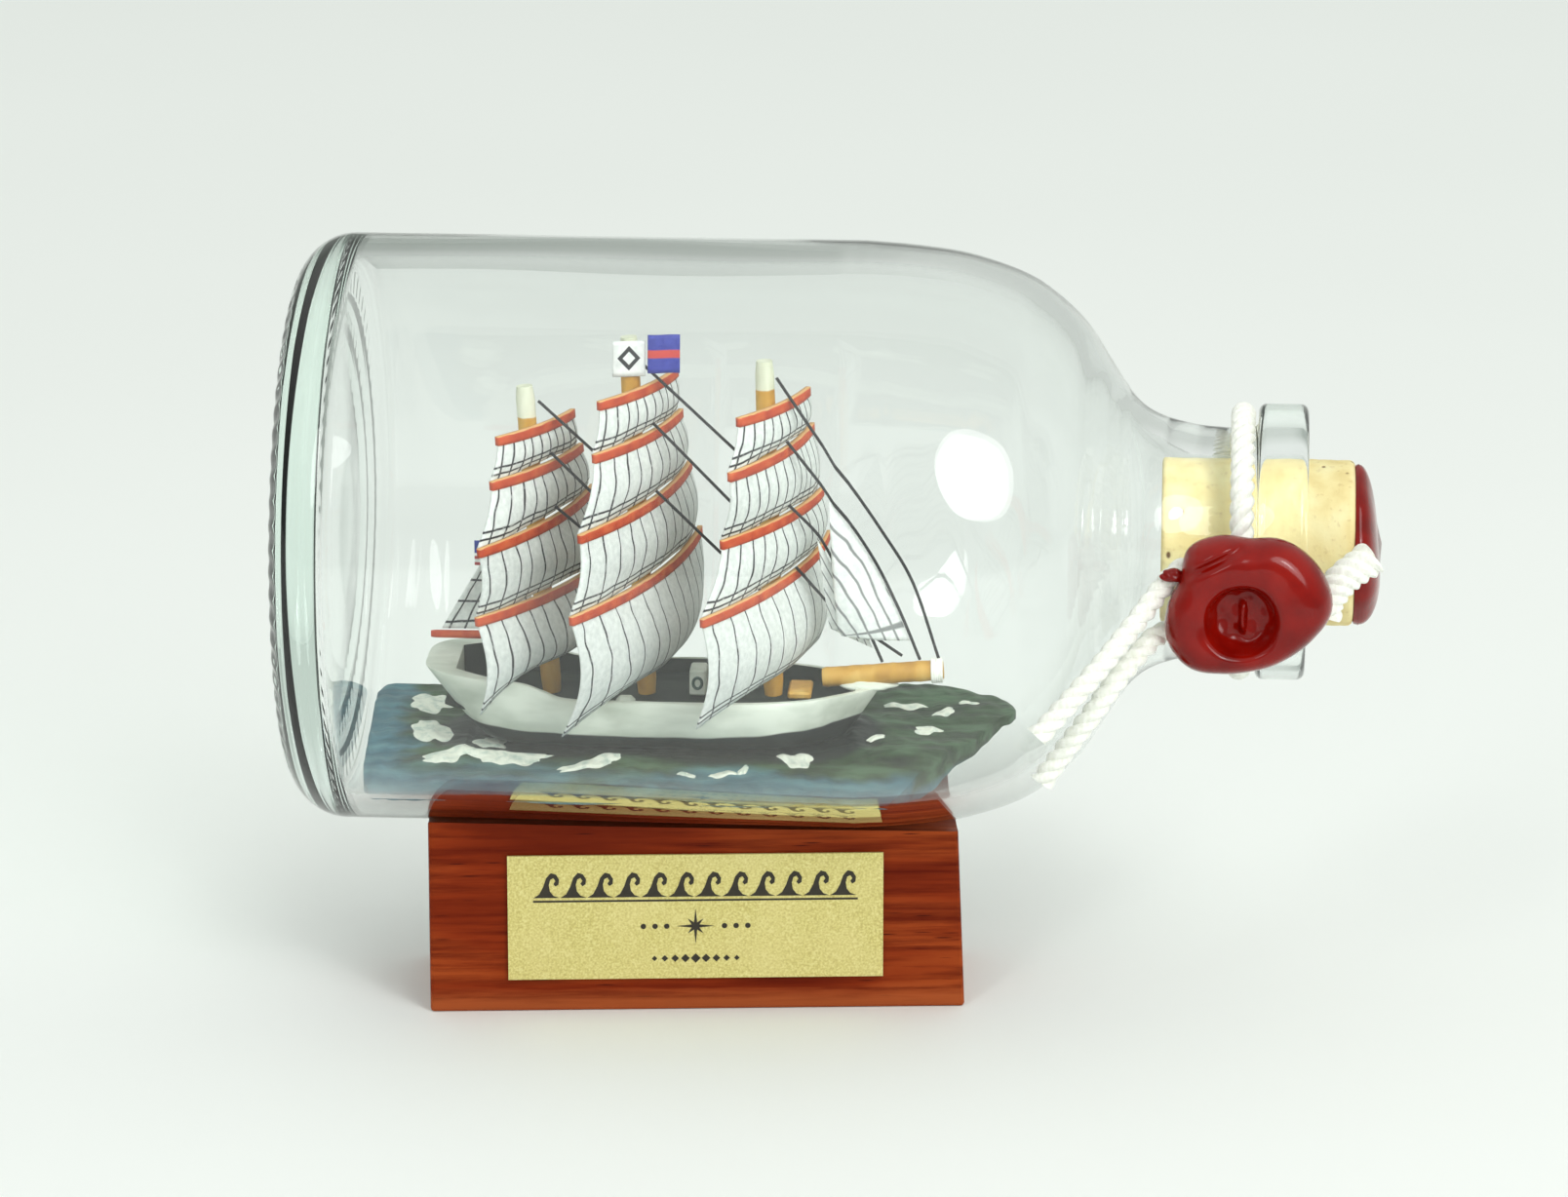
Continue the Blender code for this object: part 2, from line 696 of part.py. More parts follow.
def make_jibs(parts, material):
    """Two three-cornered sails behind their stays: (x, z) luff points, clew and belly."""
    aft = 0.42
    jibs = {
        "outer_jib": (FORE_STAYS["outer_jib_stay"][1:], (0.35, -1.5, 27.3), -0.9, 0.3),
        "inner_jib": (FORE_STAYS["inner_jib_stay"][1:], (-0.4, -0.25, 27.5), -0.3, 0.25),
    }
    for name, (luff, clew, belly, lead) in jibs.items():
        add_jib(name, luff, clew, belly, aft, lead, material, parts)


def add_jib(name, luff, clew, belly, aft, lead, material, parts):
    line = smooth_curve([(x, 0.0, z) for x, z in luff], 6)
    line = line[: int(len(line) * 0.93)]

    def place(u, w):
        along = (1 + u) / 2 * (len(line) - 1)
        i = min(int(along), len(line) - 2)
        edge = line[i] + (line[i + 1] - line[i]) * (along - i)
        edge = Vector((edge.x - aft, 0.0, edge.z - lead))
        # The sheet narrows to a blunt clew, so that it stays a four-sided grid.
        share = 0.9 * w
        corner = Vector(clew)
        point = edge + (corner - edge) * share
        swell = math.sin(math.pi * w) * math.sin(math.pi * (0.15 + 0.7 * (1 + u) / 2))
        return (point.x, point.y + belly * swell, point.z)

    add_sheet(name, place, (6, 5), SAIL_THICKNESS, material, parts)


def make_flags(parts, ensign_material, white_material, blue_material):
    front = -MAST_RADII[0] - FINE_GAP - 0.05
    flags = {
        "signal_flag_white": ((-16.2, 46.25), (-13.85, 48.85), front, white_material),
        "signal_flag_blue": ((-13.65, 46.55), (-11.35, 49.35), front - 0.1, blue_material),
        "ensign": ((-26.3, 31.9), (-24.9, 33.75), -0.62, ensign_material),
    }
    for name, ((x0, z0), (x1, z1), y, material) in flags.items():
        wave = 0.12

        def place(u, w, x0=x0, z0=z0, x1=x1, z1=z1, y=y, wave=wave):
            x = x0 + (x1 - x0) * (1 + u) / 2
            return (x, y + wave * math.sin(2.2 * u), z1 + (z0 - z1) * w)

        add_sheet(name, place, (5, 2), 0.18, material, parts)


def make_stays(parts, material):
    for name, line in {**MAST_STAYS, **FORE_STAYS}.items():
        side = STAY_SIDE.get(name, 0.0)
        points = [mm(x, side, z) for x, z in line]
        if len(line) > 2:
            points = smooth_curve(points, 3)
        add_tube(name, points, STAY_RADIUS, material, parts)


def build_ship_in_bottle():
    clear_scene()
    parts = make_collection("ship_in_a_bottle")
    cutters = make_collection("cutters")
    glass = make_material("glass", (0.93, 0.97, 0.95), 0.02, transmission=1.0)
    wood = make_material("varnished_wood", (0.20, 0.035, 0.010), 0.35)
    foil = make_material("label_foil", (0.62, 0.55, 0.22), 0.45, metallic=0.2)
    cork = make_material("cork", (0.80, 0.66, 0.38), 0.85)
    wax = make_material("wax", (0.30, 0.010, 0.006), 0.2)
    cotton = make_material("cotton_cord", (0.85, 0.84, 0.78), 0.9)
    putty = make_material("sea_putty", (0.10, 0.16, 0.14), 0.5)
    hull_paint = make_material("hull_paint", (0.55, 0.60, 0.50), 0.5)
    deck_paint = make_material("deck_paint", (0.03, 0.045, 0.04), 0.7)
    spar = make_material("spar_ochre", (0.50, 0.27, 0.06), 0.6)
    yard_paint = make_material("yard_orange", (0.62, 0.09, 0.03), 0.6)
    paper = make_material("sail_paper", (0.78, 0.80, 0.80), 0.8)
    thread = make_material("rigging_thread", (0.008, 0.008, 0.010), 0.8)
    flag_blue = make_material("flag_blue", (0.07, 0.10, 0.40), 0.7)
    ensign = make_material("ensign_cloth", (0.35, 0.12, 0.18), 0.8)

    make_stand(parts, cutters, wood)
    make_label(parts, foil)
    make_bottle(parts, glass)
    make_stopper(parts, cork, wax, cotton)
    make_neck_cords(parts, cotton)
    make_seal(parts, wax)
    make_sea(parts, putty)
    make_hull(parts, cutters, hull_paint)
    make_deck_pieces(parts, deck_paint, hull_paint, spar)
    make_masts(parts, spar)
    add_rod(
        "bowsprit", (BOWSPRIT_HEEL[0], 0.0, BOWSPRIT_HEEL[1]),
        (BOWSPRIT_TIP[0], 0.0, BOWSPRIT_TIP[1]), (BOWSPRIT_RADIUS,) * 2, spar, parts,
    )
    make_square_rig(parts, yard_paint, paper)
    make_spanker(parts, paper, yard_paint)
    make_jibs(parts, paper)
    make_flags(parts, ensign, paper, flag_blue)
    make_stays(parts, thread)


build_ship_in_bottle()
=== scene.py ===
"""The looks of the ship in a bottle: glass, sea, painted hull, printed paper sails, cord and wax.

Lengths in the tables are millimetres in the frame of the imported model, as in part.py. The looks
measure in metres, as the shaders do.
"""

import random
from math import atan2, cos, exp, hypot, pi, radians, sin, sqrt, tan

import bmesh
import bpy
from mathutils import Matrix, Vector


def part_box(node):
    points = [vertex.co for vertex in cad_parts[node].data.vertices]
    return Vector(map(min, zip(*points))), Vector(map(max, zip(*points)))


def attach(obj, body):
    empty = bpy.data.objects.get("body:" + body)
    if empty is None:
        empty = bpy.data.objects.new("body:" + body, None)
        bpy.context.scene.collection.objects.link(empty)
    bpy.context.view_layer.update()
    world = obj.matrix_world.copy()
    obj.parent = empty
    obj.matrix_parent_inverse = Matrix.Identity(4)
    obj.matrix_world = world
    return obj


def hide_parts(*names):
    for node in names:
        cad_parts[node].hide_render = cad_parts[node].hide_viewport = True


MM = 0.001

# The bottle. s is the distance from its base plane along its axis.
BODY_RADIUS = 21.25
BOTTLE_LENGTH = 73.0
WALL = 1.6
BASE_THICKNESS = 3.6
HEEL_RADIUS = 4.0
INNER_HEEL = 1.2
PUNT_DEPTH = 0.9
SHOULDER = (
    (41.0, 21.25), (44.5, 21.0), (48.4, 20.45), (52.3, 19.2), (54.7, 17.75), (57.0, 15.6),
    (58.8, 12.9), (60.5, 10.4), (62.3, 9.1), (64.9, 8.4), (67.0, 8.2),
)
NECK_RADIUS = 8.2
LIP_RADIUS = 9.95
LIP_START = 69.4
LIP_ROUND = 0.6
BORE_RADIUS = 6.3
BORE_START = 64.4
MOULD_LINE = 60.0
KNURLS = 68
AXIS_Z = 34.6
BASE_X = -39.2

BLOCK_CENTRE_X = -10.75
BLOCK_TURN = 5.5
LABEL_CENTRE = (-10.6, 7.3)
LABEL_FRONT = -6.62
INK_THICKNESS = 0.03

CORK_RADIUS = 6.0
CORK_START = 62.4
CORK_END = 76.4
CAP_END = 78.4
CORD_DIAMETER = 1.65
NECK_LOOP_S = 68.3
SEAL_CENTRE = (29.7, -10.9, 33.1)
SEAL_THICKNESS = 2.9
TIE_CORD_ROUTE = (
    (15.0, -16.6, 24.8), (17.2, -15.8, 27.2), (19.5, -14.6, 29.7), (21.8, -12.5, 32.2),
    (23.4, -10.8, 34.0), (24.8, -9.95, 35.3), (26.2, -9.85, 35.6), (27.1, -9.85, 34.6),
    (27.1, -9.85, 33.0), (26.2, -9.85, 31.5), (24.8, -9.95, 30.9), (23.4, -10.6, 30.7),
    (22.0, -11.9, 29.7), (20.4, -13.2, 28.0), (18.8, -13.7, 25.7), (17.0, -13.6, 23.1),
    (15.3, -13.25, 20.5),
)
CAP_CORD_ROUTE = (
    (34.95, -9.2, 31.8), (35.3, -8.9, 33.0), (36.2, -8.3, 34.2), (37.3, -7.7, 35.0),
    (38.3, -7.15, 35.6),
)

SEA_LEVEL = 18.72
SEA_START = -35.1
SEA_END = 13.4
KEEL_Z = 19.05
DECK_Z = 21.8
BULWARK = 0.6
# The hull's stations from the stern: (x, half breadth, rail height).
STATIONS = (
    (-30.0, 1.2, 24.6), (-29.85, 2.3, 24.65), (-29.4, 3.2, 24.7), (-28.6, 4.05, 24.7),
    (-27.3, 4.8, 24.65), (-25.0, 5.35, 24.55),
    (-22.6, 5.6, 24.4), (-21.0, 5.7, 23.9), (-19.3, 5.75, 23.35), (-15.0, 5.8, 23.25),
    (-10.0, 5.8, 23.2), (-6.0, 5.5, 23.15), (-3.0, 4.8, 23.1), (-0.6, 3.7, 23.1),
    (1.4, 2.2, 23.1), (3.1, 0.6, 23.1),
)
STERN_RAKE = 0.78
BOW_RAKE = 0.65

BOWSPRIT = ((-1.0, 0.0, 23.55), (7.7, 0.0, 24.35))
BOWSPRIT_RADIUS = 0.74
MAST_FOOT_Z = 22.39
MAST_RADII = (0.75, 0.68)
YARD_HEIGHT = 0.75
YARD_THICKNESS = 0.36
YARD_OFFSET = 1.3
YARD_BEND = 0.066
SAIL_THICKNESS = 0.12
STAY_RADIUS = 0.115
# A yard is (height, length, degrees it is braced round). A course's foot is (height, length, arch,
# how far its corners are drawn aft).
MASTS = {
    "mizzen": {
        "foot_x": -20.9,
        "rake": 4.4,
        "top_z": 45.3,
        "yards": ((42.3, 9.5, 30.0), (39.3, 12.2, 27.0), (35.2, 18.6, 21.0), (30.0, 18.4, 26.0)),
        "course_foot": (22.8, 17.4, 2.5, 0.5),
    },
    "main": {
        "foot_x": -13.9,
        "rake": 2.6,
        "top_z": 49.0,
        "yards": ((45.2, 11.1, 25.5), (41.7, 14.0, 22.0), (36.8, 21.1, 17.5), (31.3, 24.7, 17.5)),
        "course_foot": (22.0, 21.6, 2.5, 1.5),
    },
    "fore": {
        "foot_x": -4.6,
        "rake": 1.7,
        "top_z": 47.3,
        "yards": ((44.05, 10.2, 26.0), (40.7, 15.0, 19.5), (35.8, 15.8, 23.5), (31.2, 24.0, 19.0)),
        "course_foot": (23.2, 23.6, 1.3, 0.4),
    },
}
SAIL_NAMES = ("royal", "topgallant", "topsail", "course")
# Stays as (x, z) points from the top down. STAY_LEADS run them on past their two ends.
STAYS = {
    "mizzen_royal_stay": ((-21.25, 43.8), (-16.0, 38.9)),
    "mizzen_topgallant_stay": ((-20.35, 39.9), (-15.85, 35.4)),
    "mizzen_topmast_stay": ((-20.15, 36.0), (-15.75, 32.3)),
    "main_royal_stay": ((-13.6, 46.5), (-6.05, 39.4)),
    "main_topgallant_stay": ((-12.95, 42.2), (-5.95, 35.0)),
    "main_topmast_stay": ((-12.75, 37.2), (-5.8, 30.4)),
    "fore_royal_stay": ((-4.15, 45.6), (-0.33, 39.9), (3.0, 35.0), (5.4, 30.9), (7.2, 25.6)),
    "outer_jib_stay": ((-3.4, 41.0), (0.1, 36.4), (2.6, 32.6), (4.4, 28.9), (5.8, 25.45)),
    "inner_jib_stay": ((-3.2, 36.3), (-1.4, 34.4), (0.3, 31.6), (1.9, 28.0), (3.1, 25.2)),
    "fore_topmast_stay": ((-2.75, 31.4), (-0.8, 29.2), (1.9, 27.0), (4.3, 25.3)),
}
STAY_SIDE = {"fore_topmast_stay": 0.8}
STAY_LEADS = (0.55, 0.4)

# Foam dabs on the sea: (x, y, length, width, turn in degrees).
FOAM = (
    (-30.6, 6.7, 2.9, 3.6, 5), (-29.8, -0.2, 2.6, 4.4, 20), (-28.0, -5.6, 3.6, 1.9, 28),
    (-25.2, -2.7, 2.2, 2.4, 40), (-23.7, -5.7, 5.6, 1.7, -4), (-17.4, -6.9, 4.4, 1.2, 24),
    (-10.4, -7.6, 1.2, 0.7, 0), (-7.9, -7.4, 1.9, 0.8, 15), (-6.4, -6.9, 1.0, 0.6, 60),
    (-2.7, -5.2, 2.0, 2.4, 45), (2.9, -1.2, 1.5, 0.8, 50), (4.7, 6.2, 2.9, 1.0, -6),
    (6.5, 0.9, 1.9, 1.5, 30), (7.6, 4.6, 1.9, 1.1, 50), (9.3, 6.4, 1.3, 0.7, 0),
    (-20.5, 8.6, 3.6, 1.2, -15), (-11.0, 8.4, 3.2, 1.3, 12), (-1.5, 7.8, 2.6, 1.2, -20),
)


# ---------------------------------------------------------------- shapes


def mm(*values):
    return Vector(values) * MM


def between(a, b, c, d, t):
    """The Catmull-Rom point at t from b to c, a and d being their outer neighbours."""
    return 0.5 * (2 * b + (c - a) * t + (2 * a - 5 * b + 4 * c - d) * t**2
                  + (3 * b - a - 3 * c + d) * t**3)


def smooth_curve(points, spans):
    """Points along a Catmull-Rom curve through the given ones, spans to each stretch."""
    knots = [Vector(p) for p in points]
    knots = [2 * knots[0] - knots[1], *knots, 2 * knots[-1] - knots[-2]]
    found = []
    for a, b, c, d in zip(knots, knots[1:], knots[2:], knots[3:]):
        found += [between(a, b, c, d, step / spans) for step in range(spans)]
    found.append(knots[-2])
    return found


def arc(centre, radius, start, end, steps):
    """Points round a centre from one angle in degrees to another."""
    found = []
    for step in range(steps + 1):
        angle = radians(start + (end - start) * step / steps)
        found.append((centre[0] + radius * cos(angle), centre[1] + radius * sin(angle)))
    return found


def angles(count):
    """Equal steps once round a circle."""
    return [2 * pi * k / count for k in range(count)]


def inward(points, distance):
    """A profile moved towards the bottle's axis, square to itself."""
    moved = []
    for i, (s, r) in enumerate(points):
        before = points[max(i - 1, 0)]
        after = points[min(i + 1, len(points) - 1)]
        along = Vector((after[0] - before[0], after[1] - before[1])).normalized()
        moved.append((s + along.y * distance, r - along.x * distance))
    return moved


def radius_at(profile, s):
    """The radius of an outline at s, or that of its nearer end outside it."""
    for (s0, r0), (s1, r1) in zip(profile, profile[1:]):
        if s0 <= s <= s1 and s1 > s0:
            return r0 + (r1 - r0) * (s - s0) / (s1 - s0)
    return profile[0][1] if s < profile[0][0] else profile[-1][1]


def path_length(points):
    return sum((b - a).length for a, b in zip(points, points[1:]))


def finish_piece(piece, material, body="bottle", replaced=(), slot=None):
    """Give a piece its material, and tell the frame its body and what it replaces. Its slot is not
    used.
    """
    piece.data.materials.append(material)
    bpy.context.scene.collection.objects.link(piece)
    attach(piece, body)
    if replaced:
        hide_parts(*replaced)
    return piece


def clean_mesh(name, points, faces):
    mesh = bpy.data.meshes.new(name)
    mesh.from_pydata([tuple(p) for p in points], [], faces)
    work = bmesh.new()
    work.from_mesh(mesh)
    bmesh.ops.recalc_face_normals(work, faces=work.faces)
    work.to_mesh(mesh)
    work.free()
    return mesh


def mesh_piece(name, points, faces, material, sharp=40, **where):
    """A smooth piece of the model. where holds its body, the nodes it replaces and its slot."""
    mesh = clean_mesh(name, points, faces)
    mesh.shade_smooth()
    mesh.set_sharp_from_angle(angle=radians(sharp))
    return finish_piece(bpy.data.objects.new(name, mesh), material, **where)


def grid_faces(rows, columns, wrap_rows=False, wrap_columns=False, first=0):
    faces = []
    for i in range(rows if wrap_rows else rows - 1):
        for j in range(columns if wrap_columns else columns - 1):
            k, l = (i + 1) % rows, (j + 1) % columns
            faces.append(
                (first + i * columns + j, first + i * columns + l,
                 first + k * columns + l, first + k * columns + j)
            )
    return faces


def tube_faces(rows, ring, first=0):
    """The sides and the two flat ends of a solid made of rows of ring points each."""
    last = first + (rows - 1) * ring
    ends = [tuple(range(start, start + ring)) for start in (first, last)]
    return grid_faces(rows, ring, wrap_columns=True, first=first) + ends


def fan_faces(first, ring, tip):
    """Triangles from a ring of points to one tip."""
    return [(first + j, first + (j + 1) % ring, tip) for j in range(ring)]


def turned_piece(name, profile, segments, material, shift=None, **where):
    """A closed solid turned about the bottle's axis. Its profile starts and ends on the axis."""
    points = []
    ring = profile[1:-1]
    for s, r in ring:
        for angle in angles(segments):
            ds, dr = shift(s, r, angle) if shift else (0.0, 0.0)
            points.append(
                mm(BASE_X + s + ds, -(r + dr) * cos(angle), AXIS_Z + (r + dr) * sin(angle))
            )
    faces = grid_faces(len(ring), segments, wrap_columns=True)
    for (s, _), row in ((profile[0], 0), (profile[-1], len(ring) - 1)):
        points.append(mm(BASE_X + s, 0.0, AXIS_Z))
        faces += fan_faces(row * segments, segments, len(points) - 1)
    return mesh_piece(name, points, faces, material, **where)


def sheet_piece(name, place, cells, thickness, material, **where):
    """A thin curved sheet with UVs, from its point for u in -1..1 and w in 0..1."""
    columns, rows = cells[0] + 1, cells[1] + 1
    points = []
    uvs = []
    for i in range(rows):
        for j in range(columns):
            u, w = 2 * j / cells[0] - 1, i / cells[1]
            points.append(mm(*place(u, w)))
            uvs.append(((u + 1) / 2, w))
    piece = mesh_piece(name, points, grid_faces(rows, columns), material, sharp=70, **where)
    layer = piece.data.uv_layers.new(name="UVMap")
    for loop in piece.data.loops:
        layer.data[loop.index].uv = uvs[loop.vertex_index]
    solid = piece.modifiers.new("Solidify", "SOLIDIFY")
    solid.thickness = thickness * MM
    solid.offset = 0.0
    return piece


def frames_along(points, closed=False):
    """A turned-as-little-as-possible frame at each point of a line."""
    count = len(points)
    found = []
    side = None
    for i, point in enumerate(points):
        before = points[i - 1] if i or closed else point
        after = points[(i + 1) % count] if i + 1 < count or closed else point
        along = (after - before).normalized()
        if side is None:
            side = along.orthogonal().normalized()
        side = (side - along * side.dot(along)).normalized()
        found.append((point, side, along.cross(side)))
    return found


def rope_piece(name, points, diameter, material, closed=False, strands=3, pitch=3.4, **where):
    """A laid cord: strands wound round each other about a line, all of one mesh."""
    frames = frames_along(points, closed)
    total = path_length(points + points[:1] if closed else points)
    turns = max(1, round(total / (pitch * MM))) if closed else total / (pitch * MM)
    strand = diameter * MM * 0.3
    offset = diameter * MM / 2 - strand
    sides = 10
    made = []
    faces = []
    for k in range(strands):
        first = len(made)
        travelled = 0.0
        for i, (point, side, up) in enumerate(frames):
            if i:
                travelled += (point - frames[i - 1][0]).length
            turn = 2 * pi * (k / strands + turns * travelled / total)
            end = min(travelled, total - travelled) / (1.2 * MM)
            splay = 1.0 if closed else 1.0 + 0.35 * max(0.0, 1 - end) ** 2
            centre = point + (side * cos(turn) + up * sin(turn)) * offset * splay
            for angle in angles(sides):
                made.append(centre + (side * cos(angle) + up * sin(angle)) * strand)
        if closed:
            faces += grid_faces(len(frames), sides, True, True, first)
        else:
            faces += tube_faces(len(frames), sides, first)
    return mesh_piece(name, made, faces, material, **where)


def rod_piece(name, start, end, radii, material, sides=24, wobble=0.0, **where):
    """A round spar with soft ends, a little uneven along its length."""
    first, last = mm(*start), mm(*end)
    along = last - first
    side = along.orthogonal().normalized()
    up = along.normalized().cross(side)
    rows = 24
    points = []
    for i in range(rows + 1):
        t = i / rows
        radius = (radii[0] + (radii[1] - radii[0]) * t) * MM
        radius *= 1 + wobble * sin(17 * t + len(name)) * sin(41 * t)
        if i in (0, rows):
            radius *= 0.86
        for angle in angles(sides):
            points.append(first + along * t + (side * cos(angle) + up * sin(angle)) * radius)
    return mesh_piece(name, points, tube_faces(rows + 1, sides), material, **where)


def thread_piece(name, points, radius, material, **where):
    curve = bpy.data.curves.new(name, "CURVE")
    curve.dimensions = "3D"
    curve.bevel_depth = radius * MM
    curve.bevel_resolution = 4
    curve.use_fill_caps = True
    spline = curve.splines.new("POLY")
    spline.points.add(len(points) - 1)
    for knot, place in zip(spline.points, points):
        knot.co = (*place, 1.0)
    finish_piece(bpy.data.objects.new(name, curve), material, **where)


# ---------------------------------------------------------------- materials


def rgb(red, green, blue):
    """A linear colour from 0..255 display values."""
    found = []
    for value in (red, green, blue):
        v = value / 255
        found.append(v / 12.92 if v <= 0.04045 else ((v + 0.055) / 1.055) ** 2.4)
    return (*found, 1.0)


class Nodes:
    """Short calls that wire a tree of shader nodes."""

    def __init__(self, tree):
        self.tree = tree
        self.where = tree.nodes.new("ShaderNodeTexCoord")

    def node(self, kind, inputs=None, **settings):
        """A new ShaderNode. inputs holds a value or another node's output for each socket."""
        made = self.tree.nodes.new("ShaderNode" + kind)
        for key, value in settings.items():
            setattr(made, key, value)
        for key, value in (inputs or {}).items():
            if hasattr(value, "is_output"):
                self.tree.links.new(value, made.inputs[key])
            else:
                made.inputs[key].default_value = value
        return made

    def maths(self, operation, a, b=0.0):
        return self.node("Math", {0: a, 1: b}, operation=operation).outputs[0]

    def plus(self, a, b):
        return self.maths("ADD", a, b)

    def minus(self, a, b):
        return self.maths("SUBTRACT", a, b)

    def times(self, a, b):
        return self.maths("MULTIPLY", a, b)

    def apart(self, a, b):
        """How far apart two values are."""
        return self.maths("ABSOLUTE", self.minus(a, b))

    def swing(self, value, size):
        """A 0..1 value made to swing about 0, by size from end to end."""
        return self.times(self.minus(value, 0.5), size)

    def step(self, value, low, high):
        """0 below low, 1 above high, and a slope between."""
        inputs = {"Value": value, "From Min": low, "From Max": high}
        return self.node("MapRange", inputs, clamp=True).outputs["Result"]

    def mix(self, factor, a, b):
        inputs = {0: factor, 6: a, 7: b}
        return self.node("Mix", inputs, data_type="RGBA").outputs[2]

    def axis(self, name, space="Object"):
        return self.node("SeparateXYZ", {0: self.where.outputs[space]}).outputs[name]


class Paint(Nodes):
    """A Principled material, and the textures that its looks are made of."""

    def __init__(self, name, roughness=0.5, turn=0.0, **values):
        self.material = bpy.data.materials.new(name)
        self.material.use_nodes = True
        super().__init__(self.material.node_tree)
        self.turn = radians(turn)
        self.shader = self.tree.nodes["Principled BSDF"]
        self.shader.inputs["Roughness"].default_value = roughness
        for key, value in values.items():
            self.shader.inputs[key.replace("_", " ")].default_value = value

    def stretched(self, scale):
        """The object's own coordinates, turned with the block and stretched."""
        place = self.where.outputs["Object"]
        if self.turn:
            inputs = {"Vector": place, "Rotation": (0.0, 0.0, -self.turn)}
            place = self.node("Mapping", inputs).outputs[0]
        return self.node("Mapping", {"Vector": place, "Scale": scale}).outputs[0]

    def noise(self, scale, detail=3.0, stretch=(1.0, 1.0, 1.0), roughness=0.5):
        inputs = {"Vector": self.stretched(stretch), "Scale": scale, "Detail": detail,
                  "Roughness": roughness}
        return self.node("TexNoise", inputs).outputs["Fac"]

    def cells(self, scale, stretch):
        inputs = {"Vector": self.stretched(stretch), "Scale": scale}
        return self.node("TexVoronoi", inputs).outputs["Distance"]

    def ramp(self, factor, *stops):
        """Colours along a factor. Each stop is its place and its 0..255 display values."""
        made = self.node("ValToRGB", {"Fac": factor})
        points = made.color_ramp.elements
        while len(points) < len(stops):
            points.new(0.5)
        for point, (place, *colour) in zip(points, stops):
            point.position = place
            point.color = rgb(*colour)
        return made.outputs["Color"]

    def over(self, base, colour, value, low, high, share=1.0):
        """The base with a display colour laid over it as a value goes from low to high."""
        return self.mix(self.times(self.step(value, low, high), share), base, rgb(*colour))

    def paper(self, low, high):
        """The fibre of a paper, and its colour between two tones."""
        fibre = self.noise(2600)
        return fibre, self.ramp(fibre, (0.3, *low), (0.7, *high))

    def surface(self, name, output):
        self.tree.links.new(output, self.shader.inputs[name])

    def rough(self, factor, low, high):
        inputs = {"Value": factor, "To Min": low, "To Max": high}
        self.surface("Roughness", self.node("MapRange", inputs).outputs["Result"])

    def done(self, colour, height, distance, strength):
        """The finished material, with its colour and the bumps of a height."""
        inputs = {"Height": height, "Distance": distance * MM, "Strength": strength}
        self.surface("Base Color", colour)
        self.surface("Normal", self.node("Bump", inputs).outputs["Normal"])
        return self.material


def glass_look():
    """Clear soda glass with a faint green cast. Lamps reach through it to the ship."""
    look = Paint("clear_glass", roughness=0.0, IOR=1.5, Transmission_Weight=1.0)
    look.shader.inputs["Base Color"].default_value = (0.985, 0.995, 0.99, 1.0)
    shadow = look.node("LightPath").outputs["Is Shadow Ray"]
    clear = look.node("BsdfTransparent", {"Color": (0.96, 0.975, 0.962, 1.0)})
    glass = look.node("MixShader", {0: shadow, 1: look.shader.outputs[0], 2: clear.outputs[0]})
    tint = look.node("VolumeAbsorption", {"Color": (0.40, 0.86, 0.64, 1.0), "Density": 7.0})
    output = look.tree.nodes["Material Output"]
    look.tree.links.new(glass.outputs[0], output.inputs["Surface"])
    look.tree.links.new(tint.outputs[0], output.inputs["Volume"])
    return look.material


def wood_look():
    """Reddish hardwood under varnish, its grain along the block."""
    look = Paint("varnished_wood", turn=BLOCK_TURN, Specular_IOR_Level=0.07)
    broad = look.noise(260, 4.0, (0.16, 1.0, 1.0))
    fine = look.noise(1500, 5.0, (0.05, 1.0, 1.0), 0.65)
    pores = look.cells(2600, (0.07, 1.0, 1.0))
    base = look.ramp(broad, (0.28, 98, 24, 4), (0.5, 134, 46, 14), (0.72, 168, 76, 32))
    grained = look.over(base, (90, 20, 3), fine, 0.42, 0.70)
    dotted = look.over(grained, (64, 14, 4), pores, 0.16, 0.05)
    ragged = look.swing(fine, 0.0022)
    worn = look.over(dotted, (172, 88, 46), look.plus(look.axis("Z"), ragged), 0.0018, 0.0006, 0.7)
    look.rough(fine, 0.32, 0.5)
    return look.done(worn, fine, 0.05, 0.5)


def foil_look():
    look = Paint("label_foil", Metallic=0.1, Specular_IOR_Level=0.5)
    speckle = look.noise(6500, 2.0)
    cloud = look.noise(300, 2.0)
    base = look.ramp(speckle, (0.3, 190, 174, 98), (0.5, 212, 200, 122), (0.7, 228, 219, 150))
    look.rough(speckle, 0.35, 0.55)
    clouded = look.over(base, (230, 216, 148), cloud, 0.3, 0.8, 0.4)
    return look.done(clouded, speckle, 0.012, 0.4)


def ink_look(name, colour):
    look = Paint(name, roughness=0.6)
    speckle = look.noise(2600)
    darker = tuple(c * 0.72 for c in colour[:3]) + (1.0,)
    return look.done(look.mix(look.step(speckle, 0.35, 0.7), colour, darker), speckle, 0.01, 0.4)


def cork_look():
    look = Paint("cork", roughness=0.8)
    streaks = look.noise(420, 4.0, (1.0, 1.0, 0.45))
    pits = look.cells(620, (1.0, 1.0, 0.7))
    crumbs = look.noise(2100, 4.0)
    base = look.ramp(streaks, (0.3, 226, 204, 140), (0.5, 240, 224, 164), (0.7, 248, 240, 190))
    pitted = look.over(base, (112, 76, 38), pits, 0.13, 0.06)
    crumbled = look.over(pitted, (186, 152, 98), crumbs, 0.6, 0.8, 0.5)
    relief = look.plus(look.step(pits, 0.05, 0.2), look.times(crumbs, 0.4))
    return look.done(crumbled, relief, 0.1, 0.6)


